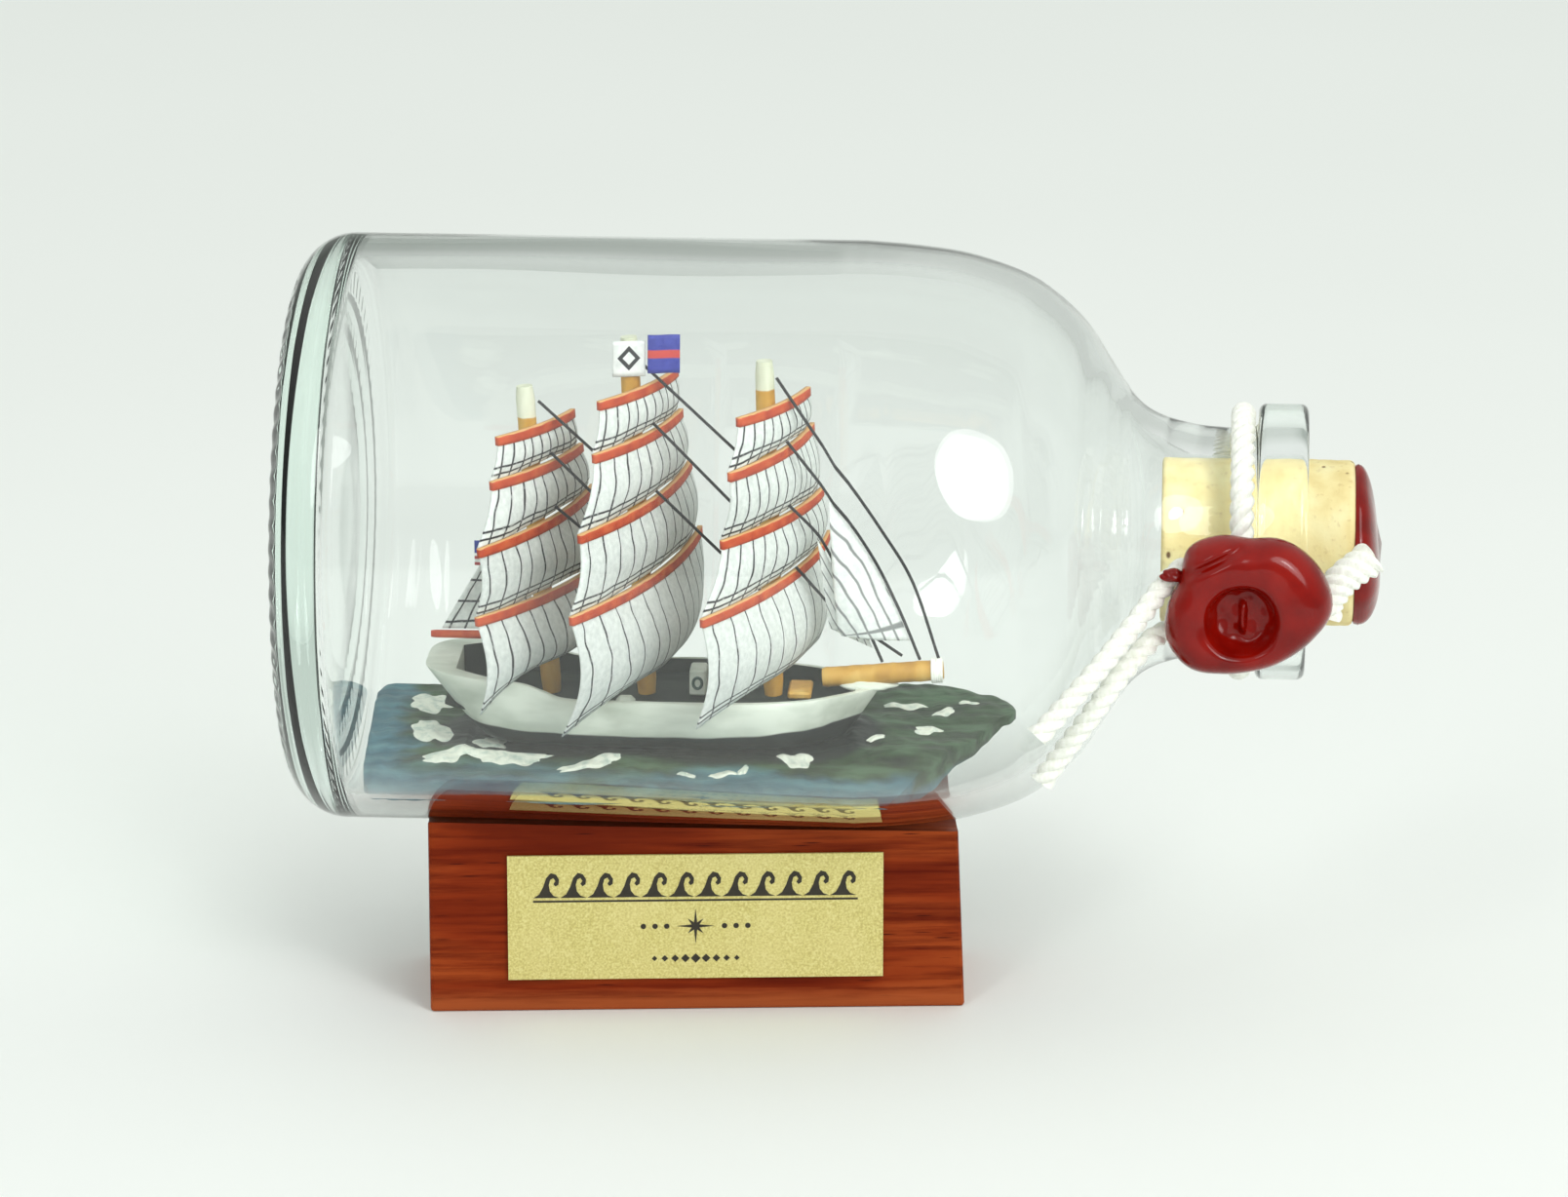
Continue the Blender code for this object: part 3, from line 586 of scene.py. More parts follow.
def wax_look():
    """Sealing wax: deep red, glossy, a little cloudy just under the surface."""
    look = Paint("sealing_wax", Specular_IOR_Level=0.3)
    cloud = look.noise(330, 3.0)
    fine = look.noise(2400, 2.0)
    look.rough(fine, 0.08, 0.16)
    red = look.ramp(cloud, (0.3, 110, 6, 2), (0.55, 134, 12, 4), (0.8, 150, 20, 6))
    return look.done(red, cloud, 0.12, 0.35)


def cotton_look():
    look = Paint("cotton_cord", roughness=0.9, Sheen_Weight=0.4)
    fibres = look.noise(4200, 4.0, (1.0, 1.0, 0.35))
    stain = look.noise(300, 2.0)
    base = look.ramp(fibres, (0.3, 242, 244, 232), (0.6, 254, 255, 248))
    stained = look.over(base, (228, 222, 196), stain, 0.6, 0.85, 0.25)
    return look.done(stained, fibres, 0.1, 0.9)


def sea_look():
    """Brushed putty: dark green water with paler strokes, blue in front, and near-black round the
    hull, partly black paint and partly painted shadow of the hull.
    """
    look = Paint("sea_paint", Specular_IOR_Level=0.15)
    broad = look.noise(190, 3.0, (0.55, 1.0, 1.0))
    strokes = look.noise(800, 4.0, (0.3, 1.0, 1.0))
    green = look.ramp(strokes, (0.32, 10, 24, 10), (0.5, 38, 62, 30), (0.66, 74, 102, 74))
    blue = look.ramp(strokes, (0.3, 30, 82, 102), (0.7, 96, 140, 152))
    ragged = look.swing(broad, 0.012)
    side = look.step(look.plus(look.axis("Y"), ragged), -0.0062, -0.0088)
    left = look.step(look.plus(look.axis("X"), ragged), -0.0310, -0.0328)
    low = look.step(look.axis("Z"), 0.0180, 0.0172)
    patch = look.maths("MAXIMUM", look.maths("MAXIMUM", side, left), low)
    water = look.mix(look.times(patch, 0.92), green, blue)
    # An oval round the hull goes near-black (13, 20, 15): partly the black paint at the hull's foot,
    # partly a painted shadow of the hull on the sea.
    along = look.times(look.apart(look.axis("X"), -0.0132), 60.0)
    across = look.times(look.apart(look.axis("Y"), 0.0), 158.0)
    paint_and_shadow_oval = look.plus(look.maths("POWER", along, 4.0), look.maths("POWER", across, 2.0))
    around = look.plus(paint_and_shadow_oval, look.times(ragged, 30.0))
    look.rough(strokes, 0.3, 0.6)
    dark = look.over(water, (13, 20, 15), around, 1.06, 0.86)
    return look.done(dark, strokes, 0.3, 0.8)


def foam_look():
    look = Paint("foam_paint", roughness=0.45, Coat_Weight=0.3)
    dabs = look.noise(1500, 3.0)
    white = look.ramp(dabs, (0.3, 188, 204, 192), (0.55, 236, 240, 226))
    return look.done(white, dabs, 0.15, 0.6)


def hull_look():
    """Cream-white paint over wood, a dark stripe at the water, and dark paint inside the rail."""
    look = Paint("hull_paint", roughness=0.45, Specular_IOR_Level=0.3)
    brush = look.noise(520, 4.0, (0.3, 1.0, 1.0))
    dirt = look.noise(260, 3.0)
    height = look.axis("Z")
    white = look.ramp(brush, (0.3, 188, 196, 182), (0.6, 222, 228, 216))
    soiled = look.over(white, (150, 156, 140), dirt, 0.58, 0.75, 0.35)
    middle = look.plus(look.axis("X"), 0.0125)
    rise = look.times(look.times(middle, middle), 2.4)
    edge = look.minus(look.minus(height, rise), look.times(brush, 0.0004))
    striped = look.over(soiled, (22, 28, 26), edge, 0.02055, 0.02040)
    normal = look.axis("Y", "Normal")
    inward_facing = look.times(normal, look.maths("SIGN", look.axis("Y")))
    inside = look.times(look.step(inward_facing, -0.25, -0.45), look.step(height, 0.0217, 0.0218))
    return look.done(look.mix(inside, striped, rgb(36, 43, 38)), brush, 0.12, 0.6)


def deck_look():
    look = Paint("deck_paint", roughness=0.6, Specular_IOR_Level=0.1)
    planks = look.maths("FRACT", look.times(look.axis("Y"), 900.0))
    seam = look.step(look.apart(planks, 0.5), 0.45, 0.48)
    worn = look.noise(700, 4.0, (0.3, 1.0, 1.0))
    base = look.ramp(worn, (0.3, 26, 31, 27), (0.7, 56, 63, 55))
    return look.done(look.mix(seam, base, rgb(22, 26, 24)), worn, 0.08, 0.6)


def spar_look(name="spar_ochre", cream_above=None):
    look = Paint(name, roughness=0.55)
    brush = look.noise(700, 4.0, (1.0, 1.0, 0.35))
    base = look.ramp(brush, (0.3, 176, 126, 40), (0.55, 208, 158, 62), (0.75, 222, 184, 98))
    if cream_above:
        height = look.plus(look.axis("Z"), look.times(brush, 0.0004))
        cream = look.ramp(brush, (0.3, 206, 210, 182), (0.6, 232, 235, 214))
        base = look.mix(look.step(height, cream_above, cream_above + 0.0001), base, cream)
    return look.done(base, brush, 0.08, 0.6)


def yard_look(name="yard_orange", straw_edge=True):
    """Orange-red paint over a straw-coloured batten that shows along its upper edge."""
    look = Paint(name, roughness=0.7)
    brush = look.noise(900, 4.0)
    red = look.ramp(brush, (0.3, 182, 56, 18), (0.55, 204, 78, 32), (0.8, 220, 112, 58))
    if straw_edge:
        edge = look.plus(look.axis("Y", "UV"), look.times(brush, 0.3))
        red = look.over(red, (226, 176, 116), edge, 0.27, 0.2)
    return look.done(red, brush, 0.06, 0.6)


def sail_look(name, lines, length, drop, marks_up=(0.45, 0.95)):
    """White paper printed with seams down the cloth and wavering lines just above the foot.

    length and drop are the sail's size, and marks_up the lines' distances above its foot.
    """
    look = Paint(name, roughness=0.8)
    u = look.axis("X", "UV")
    w = look.axis("Y", "UV")
    wander = look.swing(look.noise(420, 1.0), 0.5)
    place = look.plus(look.times(u, float(lines)), wander)
    off = look.apart(look.maths("FRACT", place), 0.5)
    ink = 0.075 * lines / length
    marks = look.step(off, ink * 1.4, ink * 0.7)
    wave = look.swing(look.noise(330, 2.0), 0.5 / drop)
    level = look.plus(w, wave)
    for up in marks_up:
        gap = look.apart(level, 1.0 - up / drop)
        line = look.step(gap, 0.11 / drop, 0.05 / drop)
        marks = look.maths("MAXIMUM", marks, line)
    fibre, paper = look.paper((214, 219, 216), (235, 239, 236))
    inked = look.times(marks, look.step(fibre, 0.1, 0.45))
    return look.done(look.mix(inked, paper, rgb(26, 27, 34)), fibre, 0.02, 0.4)


def thread_look():
    look = Paint("rigging_thread", roughness=0.7, Sheen_Weight=0.2)
    twist = look.noise(4200, 2.0)
    black = look.ramp(twist, (0.3, 14, 14, 16), (0.7, 44, 44, 48))
    return look.done(black, twist, 0.05, 0.8)


def flag_look(name, kind):
    """Printed paper flags with plain devices: a diamond outline, a band, or stripes and a corner."""
    look = Paint(name, roughness=0.7)
    u = look.axis("X", "UV")
    w = look.axis("Y", "UV")
    fibre, white = look.paper((224, 228, 226), (244, 246, 244))
    if kind == "diamond":
        far = look.plus(look.apart(u, 0.5), look.apart(w, 0.48))
        ring = look.apart(far, 0.27)
        base = look.over(white, (34, 36, 40), ring, 0.09, 0.07)
    elif kind == "band":
        blue = look.ramp(fibre, (0.3, 40, 48, 150), (0.7, 62, 72, 172))
        base = look.over(blue, (206, 70, 62), look.apart(w, 0.5), 0.12, 0.09)
    else:
        stripe = look.maths("FRACT", look.times(w, 4.0))
        striped = look.over(white, (188, 88, 90), stripe, 0.48, 0.52)
        base = look.over(striped, (66, 80, 160), w, 0.52, 0.48)
    return look.done(base, fibre, 0.02, 0.4)


def floor_look():
    look = Paint("studio_floor", roughness=0.7)
    cloud = look.noise(9, 2.0)
    tone = look.mix(look.step(cloud, 0.3, 0.7), (0.88, 0.905, 0.88, 1.0), (0.90, 0.925, 0.90, 1.0))
    look.surface("Base Color", tone)
    return look.material


# ---------------------------------------------------------------- camera and light


def aim(thing, target):
    thing.rotation_euler = (target - thing.location).to_track_quat("-Z", "Y").to_euler()


def make_camera():
    """The view of the photograph: a long lens, a little above and to the cork's side."""
    azimuth, elevation, distance = radians(3.7), radians(17.0), 0.520
    target = mm(-3.95, 0.0, 29.6)
    data = bpy.data.cameras.new("camera")
    data.sensor_width = 36.0
    data.lens = 164.4
    data.clip_start = 0.01
    camera = bpy.data.objects.new("camera", data)
    bpy.context.scene.collection.objects.link(camera)
    away = Vector((cos(elevation) * sin(azimuth), -cos(elevation) * cos(azimuth), sin(elevation)))
    camera.location = target + away * distance
    aim(camera, target)
    bpy.context.scene.camera = camera


def add_softbox(name, direction, distance, size, power):
    data = bpy.data.lights.new(name, "AREA")
    data.shape = "ELLIPSE"
    data.size, data.size_y = size
    data.energy = power
    lamp = bpy.data.objects.new(name, data)
    bpy.context.scene.collection.objects.link(lamp)
    target = mm(0.0, 0.0, 30.0)
    lamp.location = target + Vector(direction).normalized() * distance
    aim(lamp, target)


def make_studio():
    """A pale flat floor, three soft lamps, and a room that is darker behind on the left."""
    floor = bpy.data.meshes.new("floor")
    floor.from_pydata([(-3, -3, 0), (3, -3, 0), (3, 3, 0), (-3, 3, 0)], [], [(0, 1, 2, 3)])
    stage = bpy.data.objects.new("floor", floor)
    floor.materials.append(floor_look())
    bpy.context.scene.collection.objects.link(stage)
    add_softbox("key", (0.50, -0.66, 0.62), 0.75, (0.39, 0.48), 1.85)
    add_softbox("lamp", (0.50, -0.66, 0.62), 0.74, (0.09, 0.15), 0.45)
    add_softbox("left_fill", (-0.33, -0.74, 0.60), 0.8, (0.15, 0.44), 0.7)
    world = bpy.data.worlds.new("studio")
    bpy.context.scene.world = world
    world.use_nodes = True
    air = Nodes(world.node_tree)
    x, y, z = (air.axis(name, "Generated") for name in "XYZ")
    back = air.mix(air.step(x, -0.11, 0.01), (0.38, 0.42, 0.385, 1.0), (0.64, 0.68, 0.64, 1.0))
    around = air.mix(air.step(y, -0.8, 0.3), (0.46, 0.48, 0.46, 1.0), back)
    sky = air.mix(air.step(z, 0.28, 0.60), around, (0.86, 0.89, 0.86, 1.0))
    background = air.tree.nodes["Background"]
    air.tree.links.new(sky, background.inputs["Color"])
    background.inputs["Strength"].default_value = 0.95
    bpy.context.scene.view_settings.view_transform = "Standard"


# ---------------------------------------------------------------- bottle, cork, wax, cords


def outer_profile():
    ring = BODY_RADIUS - HEEL_RADIUS
    base = [(PUNT_DEPTH, 0.0), (PUNT_DEPTH * 0.97, ring * 0.3), (PUNT_DEPTH * 0.85, ring * 0.6)]
    base += [(PUNT_DEPTH * 0.5, ring * 0.85), (0.16, ring - 0.5), (0.03, ring - 0.15)]
    heel = arc((HEEL_RADIUS, ring), HEEL_RADIUS, 180, 90, 24)
    body = [(s, BODY_RADIUS) for s in range(8, 41, 4)]
    shoulder = [tuple(p) for p in smooth_curve(SHOULDER, 6)]
    ridged = [(s, r + 0.12 * exp(-(((s - MOULD_LINE) / 0.12) ** 2))) for s, r in shoulder]
    neck = [(LIP_START - LIP_ROUND, NECK_RADIUS)]
    neck += [(LIP_START - 0.25, NECK_RADIUS + 0.08), (LIP_START - 0.04, NECK_RADIUS + 0.3)]
    lip = [(LIP_START, NECK_RADIUS + 0.7)]
    lip += arc((LIP_START + LIP_ROUND, LIP_RADIUS - LIP_ROUND), LIP_ROUND, 180, 90, 6)
    lip += arc((BOTTLE_LENGTH - LIP_ROUND, LIP_RADIUS - LIP_ROUND), LIP_ROUND, 90, 0, 6)
    return base + heel + body + ridged + neck + lip


def inner_profile():
    inside = BODY_RADIUS - WALL
    heel = INNER_HEEL
    base = [(BASE_THICKNESS + 0.35, 0.0), (BASE_THICKNESS + 0.3, 6.0), (BASE_THICKNESS + 0.1, 12.0)]
    curve = arc((BASE_THICKNESS + heel, inside - heel), heel, 175, 90, 14)
    body = [(s, inside) for s in range(9, 41, 2)]
    shoulder = inward([tuple(p) for p in smooth_curve(SHOULDER, 6)], WALL)
    shoulder = [p for p in shoulder if p[0] < BORE_START - 1.5]
    bore = [(BORE_START, BORE_RADIUS), (BOTTLE_LENGTH - 0.4, BORE_RADIUS)]
    return base + curve + body + shoulder + bore + [(BOTTLE_LENGTH, BORE_RADIUS + 0.45)]


def make_bottle(material):
    inner = inner_profile()
    outer = outer_profile()
    knurl_end = 0.6
    ripple_start, ripple_end = 6.0, 60.0

    def uneven(s, r, angle):
        """Knurls round the bearing edge, and the slow ripple of a moulded inside."""
        if s < knurl_end and r > BODY_RADIUS - HEEL_RADIUS - 0.05:
            dip = 0.5 - 0.5 * cos(KNURLS * angle)
            share = sin(pi * min(max((s + 0.04) / (knurl_end + 0.06), 0.0), 1.0)) ** 0.5
            return 0.12 * dip * share, -0.09 * dip * share
        if abs(radius_at(inner, s) - r) < 0.01 and ripple_start < s < ripple_end:
            fade = min(1.0, (s - ripple_start) / 5.0, (ripple_end - s) / 4.0)
            ripple = sin(2 * angle + 0.11 * s) + 0.6 * sin(5 * angle - 0.17 * s + 1.3)
            return 0.0, 0.035 * fade * ripple
        return 0.0, 0.0

    turned_piece("glass_bottle", inner + list(reversed(outer)), KNURLS * 6, material, uneven,
                 replaced=["bottle"], slot="glass")


def make_cork(material):
    chamfer = 0.45
    profile = [(CORK_START, 0.0), (CORK_START + 0.02, 3.0)]
    profile += arc((CORK_START + chamfer, CORK_RADIUS - chamfer), chamfer, 180, 90, 5)
    steps = 30
    length = CORK_END - CORK_START - 2 * chamfer
    profile += [(CORK_START + chamfer + length * i / steps, CORK_RADIUS) for i in range(1, steps)]
    profile += arc((CORK_END - chamfer, CORK_RADIUS - chamfer), chamfer, 90, 0, 5)
    profile += [(CORK_END, 3.0), (CORK_END, 0.0)]

    def uneven(s, r, angle):
        wave = sin(7 * angle + 1.9 * s) * sin(3.1 * s + 4 * angle)
        return 0.0, 0.03 * wave - 0.03

    turned_piece("cork_stopper", profile, 120, material, uneven, body="stopper",
                 replaced=["cork"], slot="cork")


def make_wax_cap(material):
    """Wax run over the cork's end, thickest low down."""
    start = CORK_END - 0.05
    thick = CAP_END - start
    profile = [(start, 0.0), (start, 5.3), (start + 0.1, 5.65), (start + 0.45, 5.75)]
    rings = 14
    for i in range(rings + 1):
        angle = pi / 2 * i / rings
        profile.append((start + 0.45 + (thick - 0.45) * sin(angle), 5.7 * cos(angle) ** 0.6))
    profile[-1] = (CAP_END, 0.0)

    def slump(s, r, angle):
        height = r * sin(angle)
        share = (s - start) / thick
        edge = 0.12 * sin(5 * angle + 1) + 0.08 * sin(9 * angle)
        return -0.09 * (height + 2.5) * share * (1 if height > -2.5 else 0.2), edge * r / 5.7

    turned_piece("wax_cap_run", profile, 96, material, slump, body="stopper",
                 replaced=["wax_cap"], slot="wax")


def seal_edge(angle):
    """The seal's uneven outline: its radius at an angle from +X towards +Z."""
    radii = (
        5.9, 5.85, 5.7, 5.5, 5.1, 5.7, 6.1, 5.3, 5.75, 6.25, 6.1, 5.15, 4.6, 4.5, 4.65, 5.15,
    )
    place = angle / (2 * pi) * len(radii)
    i = int(place)
    return between(*(radii[(i + k) % len(radii)] for k in (-1, 0, 1, 2)), place - i)


def seal_height(x, z, share):
    """The thickness of the wax at (x, z) from its middle; share is 0 there and 1 at its edge."""
    hollow_x, hollow_z, hollow_r = -0.5, -0.45, 2.3
    off = hypot(x - hollow_x, z - hollow_z)
    crest = 0.6
    if share > crest:
        ring = max(0.0, 1 - ((share - crest) / (1 - crest)) ** 2.6) ** 0.5
    else:
        ring = 1 - 0.2 * ((crest - share) / crest) ** 2
    rim = SEAL_THICKNESS * ring * (1 + 0.05 * cos(3 * atan2(z, x)) - 0.015 * z)
    along = max(0.0, min(1.0, ((x + 4.3) * 0.885 + (z - 2.8) * 0.465) / 4.07))
    fold = hypot(x + 4.3 - 3.6 * along, z - 2.8 - 1.9 * along)
    rim -= 0.6 * exp(-((fold / 0.3) ** 2)) * ring
    floor = 0.75 + 0.15 * sin(3.1 * x + 1) * sin(2.7 * z)
    bar = 0.55 * exp(-((x - hollow_x - 0.1) / 0.22) ** 4 - ((z - hollow_z) / 1.1) ** 6)
    blend = 1 / (1 + exp((off - hollow_r) / 0.17))
    return rim * (1 - blend) + (floor + bar) * blend


def make_seal(material):
    rings, segments = 64, 144
    cx, back, cz = SEAL_CENTRE
    points = []
    for i in range(1, rings + 1):
        share = i / rings
        spread = 1 - (1 - share) ** 1.35
        for angle in angles(segments):
            r = seal_edge(angle) * spread
            x, z = r * cos(angle), r * sin(angle)
            rise = 0.45 + seal_height(x, z, spread) * 0.9
            points.append(mm(cx + x, back - rise, cz + z))
    points.append(mm(cx, back - 0.45 - seal_height(0.0, 0.0, 0.0) * 0.9, cz))
    top = len(points) - 1
    for share, depth in ((0.985, 0.2), (0.93, 0.02), (0.6, 0.0)):
        for angle in angles(segments):
            r = seal_edge(angle) * share
            points.append(mm(cx + r * cos(angle), back - depth, cz + r * sin(angle)))
    points.append(mm(cx, back, cz))
    faces = grid_faces(rings, segments, wrap_columns=True)
    faces += fan_faces(0, segments, top)
    first = top + 1
    faces += grid_faces(3, segments, wrap_columns=True, first=first)
    rim = (rings - 1) * segments
    for j in range(segments):
        k = (j + 1) % segments
        faces.append((rim + j, rim + k, first + k, first + j))
    faces += fan_faces(first + 2 * segments, segments, len(points) - 1)
    mesh_piece("seal_wax", points, faces, material, replaced=["wax_seal"], slot="wax", sharp=80)
    add_blob("seal_drip", (24.3, -11.3, 35.3), (1.0, 0.5, 0.45), material, "wax", 3)


def add_blob(name, centre, radii, material, slot, seed):
    """A rounded dab with an uneven surface."""
    work = bmesh.new()
    bmesh.ops.create_icosphere(work, subdivisions=4, radius=1.0)
    draw = random.Random(seed)
    phases = [draw.uniform(0, 6.28) for _ in range(6)]
    for vertex in work.verts:
        d = vertex.co.normalized()
        bump = 1 + 0.10 * sin(3 * d.x + phases[0]) + 0.08 * sin(4 * d.z + phases[1])
        bump += 0.05 * sin(7 * d.x + 5 * d.z + phases[2])
        vertex.co = mm(*(c + r * v * bump for c, r, v in zip(centre, radii, d)))
    mesh = bpy.data.meshes.new(name)
    work.to_mesh(mesh)
    work.free()
    mesh.shade_smooth()
    finish_piece(bpy.data.objects.new(name, mesh), material, slot=slot)


def make_cords(material):
    route = smooth_curve([mm(*p) for p in TIE_CORD_ROUTE], 16)
    tie = rope_piece("tie_cord_laid", route, CORD_DIAMETER, material, replaced=["tie_cord"],
                     slot="cotton_cord")
    radius = NECK_RADIUS + 0.95
    ring = [mm(BASE_X + NECK_LOOP_S, radius * cos(angle), AXIS_Z + radius * sin(angle))
            for angle in angles(220)]
    rope_piece("neck_cord_laid", ring, CORD_DIAMETER + 0.15, material, closed=True,
               replaced=["neck_cord"], slot="cotton_cord")
    strand = smooth_curve([mm(*p) for p in CAP_CORD_ROUTE], 12)
    rope_piece("cap_cord_laid", strand, CORD_DIAMETER + 0.9, material, body="stopper",
               replaced=["cap_cord"], slot="cotton_cord", strands=4, pitch=3.2)


# ---------------------------------------------------------------- stand and label


def on_block(x, y, z):
    """A point given beside an unturned block, turned with the block."""
    turn = radians(BLOCK_TURN)
    dx = x - BLOCK_CENTRE_X
    return mm(
        BLOCK_CENTRE_X + dx * cos(turn) - y * sin(turn),
        dx * sin(turn) + y * cos(turn), z,
    )


def ink_shape(name, outline, material):
    """A flat inked shape standing just proud of the label. outline is (x, z) points."""
    points = [on_block(x, LABEL_FRONT + 0.005, z) for x, z in outline]
    points += [on_block(x, LABEL_FRONT - INK_THICKNESS, z) for x, z in outline]
    mesh_piece(name, points, tube_faces(2, len(outline)), material, sharp=30, body="stand",
               slot="label_foil")


def wave_crest(x, z, length, height):
    """One curling wave of a running border, as an outline from its foot at (x, z)."""
    shape = (
        (0.0, 0.0), (0.22, 0.14), (0.38, 0.44), (0.50, 0.80), (0.68, 1.0), (0.88, 0.94),
        (1.0, 0.74), (0.98, 0.54), (0.86, 0.46), (0.78, 0.56), (0.86, 0.68), (0.78, 0.80),
        (0.66, 0.74), (0.60, 0.52), (0.64, 0.26), (0.78, 0.08), (1.0, 0.0),
    )
    return [(x + length * a, z + height * b) for a, b in shape]


def make_label_print(ink):
    """Three centred rows with no lettering: a running wave, a compass star, a row of diamonds."""
    cx, cz = LABEL_CENTRE
    star_z, diamond_z = cz - 0.72, cz - 3.2
    pitch = 1.96
    for k in range(12):
        ink_shape(f"label_wave_{k:02d}", wave_crest(cx + pitch * (k - 6), cz + 1.55, 1.86, 1.9), ink)
    left, right, low, high = cx - 11.8, cx + 11.8, cz + 1.2, cz + 1.34
    ink_shape("label_rule", [(left, low), (right, low), (right, high), (left, high)], ink)
    star = []
    for k, angle in enumerate(angles(16)):
        radius = (1.35 if k % 4 == 0 else 0.8) if k % 2 == 0 else 0.3
        star.append((cx + radius * sin(angle), star_z + radius * cos(angle)))
    ink_shape("label_star", star, ink)
    for k in range(9):
        mid = cx - 3.0 + 0.75 * k
        size = 0.36 - 0.04 * abs(k - 4)
        diamond = [(mid + size * sin(angle), diamond_z + size * cos(angle)) for angle in angles(4)]
        ink_shape(f"label_diamond_{k}", diamond, ink)
    for side in (-1, 1):
        for k in range(3):
            mid = cx + side * (2.1 + 0.85 * k)
            dot = [(mid + 0.2 * cos(angle), star_z + 0.2 * sin(angle)) for angle in angles(16)]
            ink_shape(f"label_dot_{'left' if side < 0 else 'right'}_{k}", dot, ink)


def make_stand_looks():
    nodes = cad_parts
    set_material(nodes["stand_block"], wood_look())
    set_material(nodes["label_plate"], foil_look())
    make_label_print(ink_look("label_ink", rgb(46, 40, 28)))


def set_material(thing, material):
    """Give one of the CAD's own parts its only material."""
    thing.data.materials.clear()
    thing.data.materials.append(material)


# ---------------------------------------------------------------- sea and hull


def station_at(x):
    """The hull's half breadth and rail height at x."""
    for (x0, b0, r0), (x1, b1, r1) in zip(STATIONS, STATIONS[1:]):
        if x0 <= x <= x1:
            t = (x - x0) / (x1 - x0)
            return b0 + (b1 - b0) * t, r0 + (r1 - r0) * t
    return 0.0, KEEL_Z


def sea_height(x, y):
    """The putty's top: swell, chop, a wash round the hull, and a rise ahead of the bow."""
    swell = sin(0.55 * x + 0.35 * y) + 0.6 * sin(0.9 * y - 0.4 * x + 1.0)
    chop = sin(1.9 * x + 1.1 * y) * sin(1.3 * y - 1.7 * x) + 0.5 * sin(3.7 * x + 2.0 * y)
    half = station_at(min(max(x, -26.5), 0.6))[0] * 0.95
    beyond = max(-26.8 - x, x - 0.9, 0.0)
    off = hypot(max(abs(y) - half, 0.0), beyond)
    wash = 0.45 * exp(-((off / 1.1) ** 2))
    under = 0.25 if off == 0.0 else 0.0
    ahead = min(max((x + 3.0) / 7.0, 0.0), 1.0) * min(max((y + 9.0) / 5.0, 0.0), 1.0)
    return SEA_LEVEL + 0.13 * swell + 0.08 * chop + wash - under + 0.75 * ahead


def make_sea(material):
    """Putty with a brushed, choppy top, its lower side against the glass.

    Its near corner is cut off slantwise beyond the bow, where the putty thins out.
    """
    glass = inner_profile()
    depth = AXIS_Z - SEA_LEVEL
    slant, thinnest, thickening, full_x = 0.055, 0.8, 0.32, 12.0
    rows, across = 220, 110
    points = []
    for row in range(rows + 1):
        share = row / rows
        x = SEA_START + (SEA_END - SEA_START) * share
        x = max(x, BASE_X + BASE_THICKNESS + 0.42)
        radius = radius_at(glass, x - BASE_X) - 0.07
        half = sqrt(max(radius**2 - depth**2, 0.05))
        ends = min(1.0, (share * 40) ** 0.5, ((1 - share) * 25) ** 0.5)
        far = half * (0.92 + 0.08 * ends)
        near = max(-half * (0.55 + 0.45 * ends), -8.9 + 1.77 * (x - 5.3) + 0.3 * sin(2.3 * x))
        near = min(near, far - 0.8)
        for i in range(across + 1):
            y = near + (far - near) * i / across
            edge = abs(2 * i / across - 1) ** 16
            askew = slant * (half - y) * max(0.0, 1 - 12 * share)
            points.append(mm(x + askew, y, sea_height(x, y) - 0.3 * (1 - ends) - 0.15 * edge))
        for i in range(1, across):
            y = far + (near - far) * i / across
            askew = slant * (half - y) * max(0.0, 1 - 12 * share)
            floor = sea_height(x, y) - thinnest - thickening * max(0.0, full_x - x)
            points.append(mm(x + askew, y, max(AXIS_Z - sqrt(radius**2 - y**2), floor)))
    mesh_piece("sea_putty", points, tube_faces(rows + 1, 2 * across), material,
               replaced=["sea"], slot="sea_putty", sharp=60)


def make_foam(material):
    """Dabs of thick white paint on the wave tops."""
    for k, (x, y, length, width, turn) in enumerate(FOAM):
        draw = random.Random(100 + k)
        phases = [draw.uniform(0, 6.28) for _ in range(4)]
        segments, rings = 40, 8
        angle0 = radians(turn)
        points = []
        for i in range(1, rings + 1):
            share = i / rings
            for angle in angles(segments):
                edge = 1 + 0.13 * sin(3 * angle + phases[0]) + 0.10 * sin(5 * angle + phases[1])
                edge += 0.06 * sin(8 * angle + phases[2])
                a = length * 0.58 * share * edge * cos(angle)
                b = width * 0.58 * share * edge * sin(angle)
                px = x + a * cos(angle0) - b * sin(angle0)
                py = y + a * sin(angle0) + b * cos(angle0)
                rise = 0.2 * (1 - share**4) + 0.05 * sin(5 * px + phases[3]) * (1 - share)
                points.append(mm(px, py, sea_height(px, py) + rise - 0.04))
        points.append(mm(x, y, sea_height(x, y) + 0.2))
        faces = grid_faces(rings, segments, wrap_columns=True)
        faces += fan_faces(0, segments, len(points) - 1)
        faces.append(tuple((rings - 1) * segments + j for j in range(segments)))
        mesh_piece(f"foam_{k:02d}", points, faces, material, slot="sea_putty", sharp=60)


def hull_shift(x, z, rail):
    """How far the rake of the stern or the stem moves a point below the rail along x."""
    aft = max(0.0, (-18.0 - x) / 11.9)
    forward = max(0.0, (x + 5.0) / 8.1)
    return (rail - z) * (STERN_RAKE * aft - BOW_RAKE * forward)


def cutter_piece(name, outline, low, high):
    """A hidden prism that hollows another piece."""
    points = [mm(x, y, low) for x, y in outline] + [mm(x, y, high) for x, y in outline]
    return bpy.data.objects.new(name, clean_mesh(name, points, tube_faces(2, len(outline))))


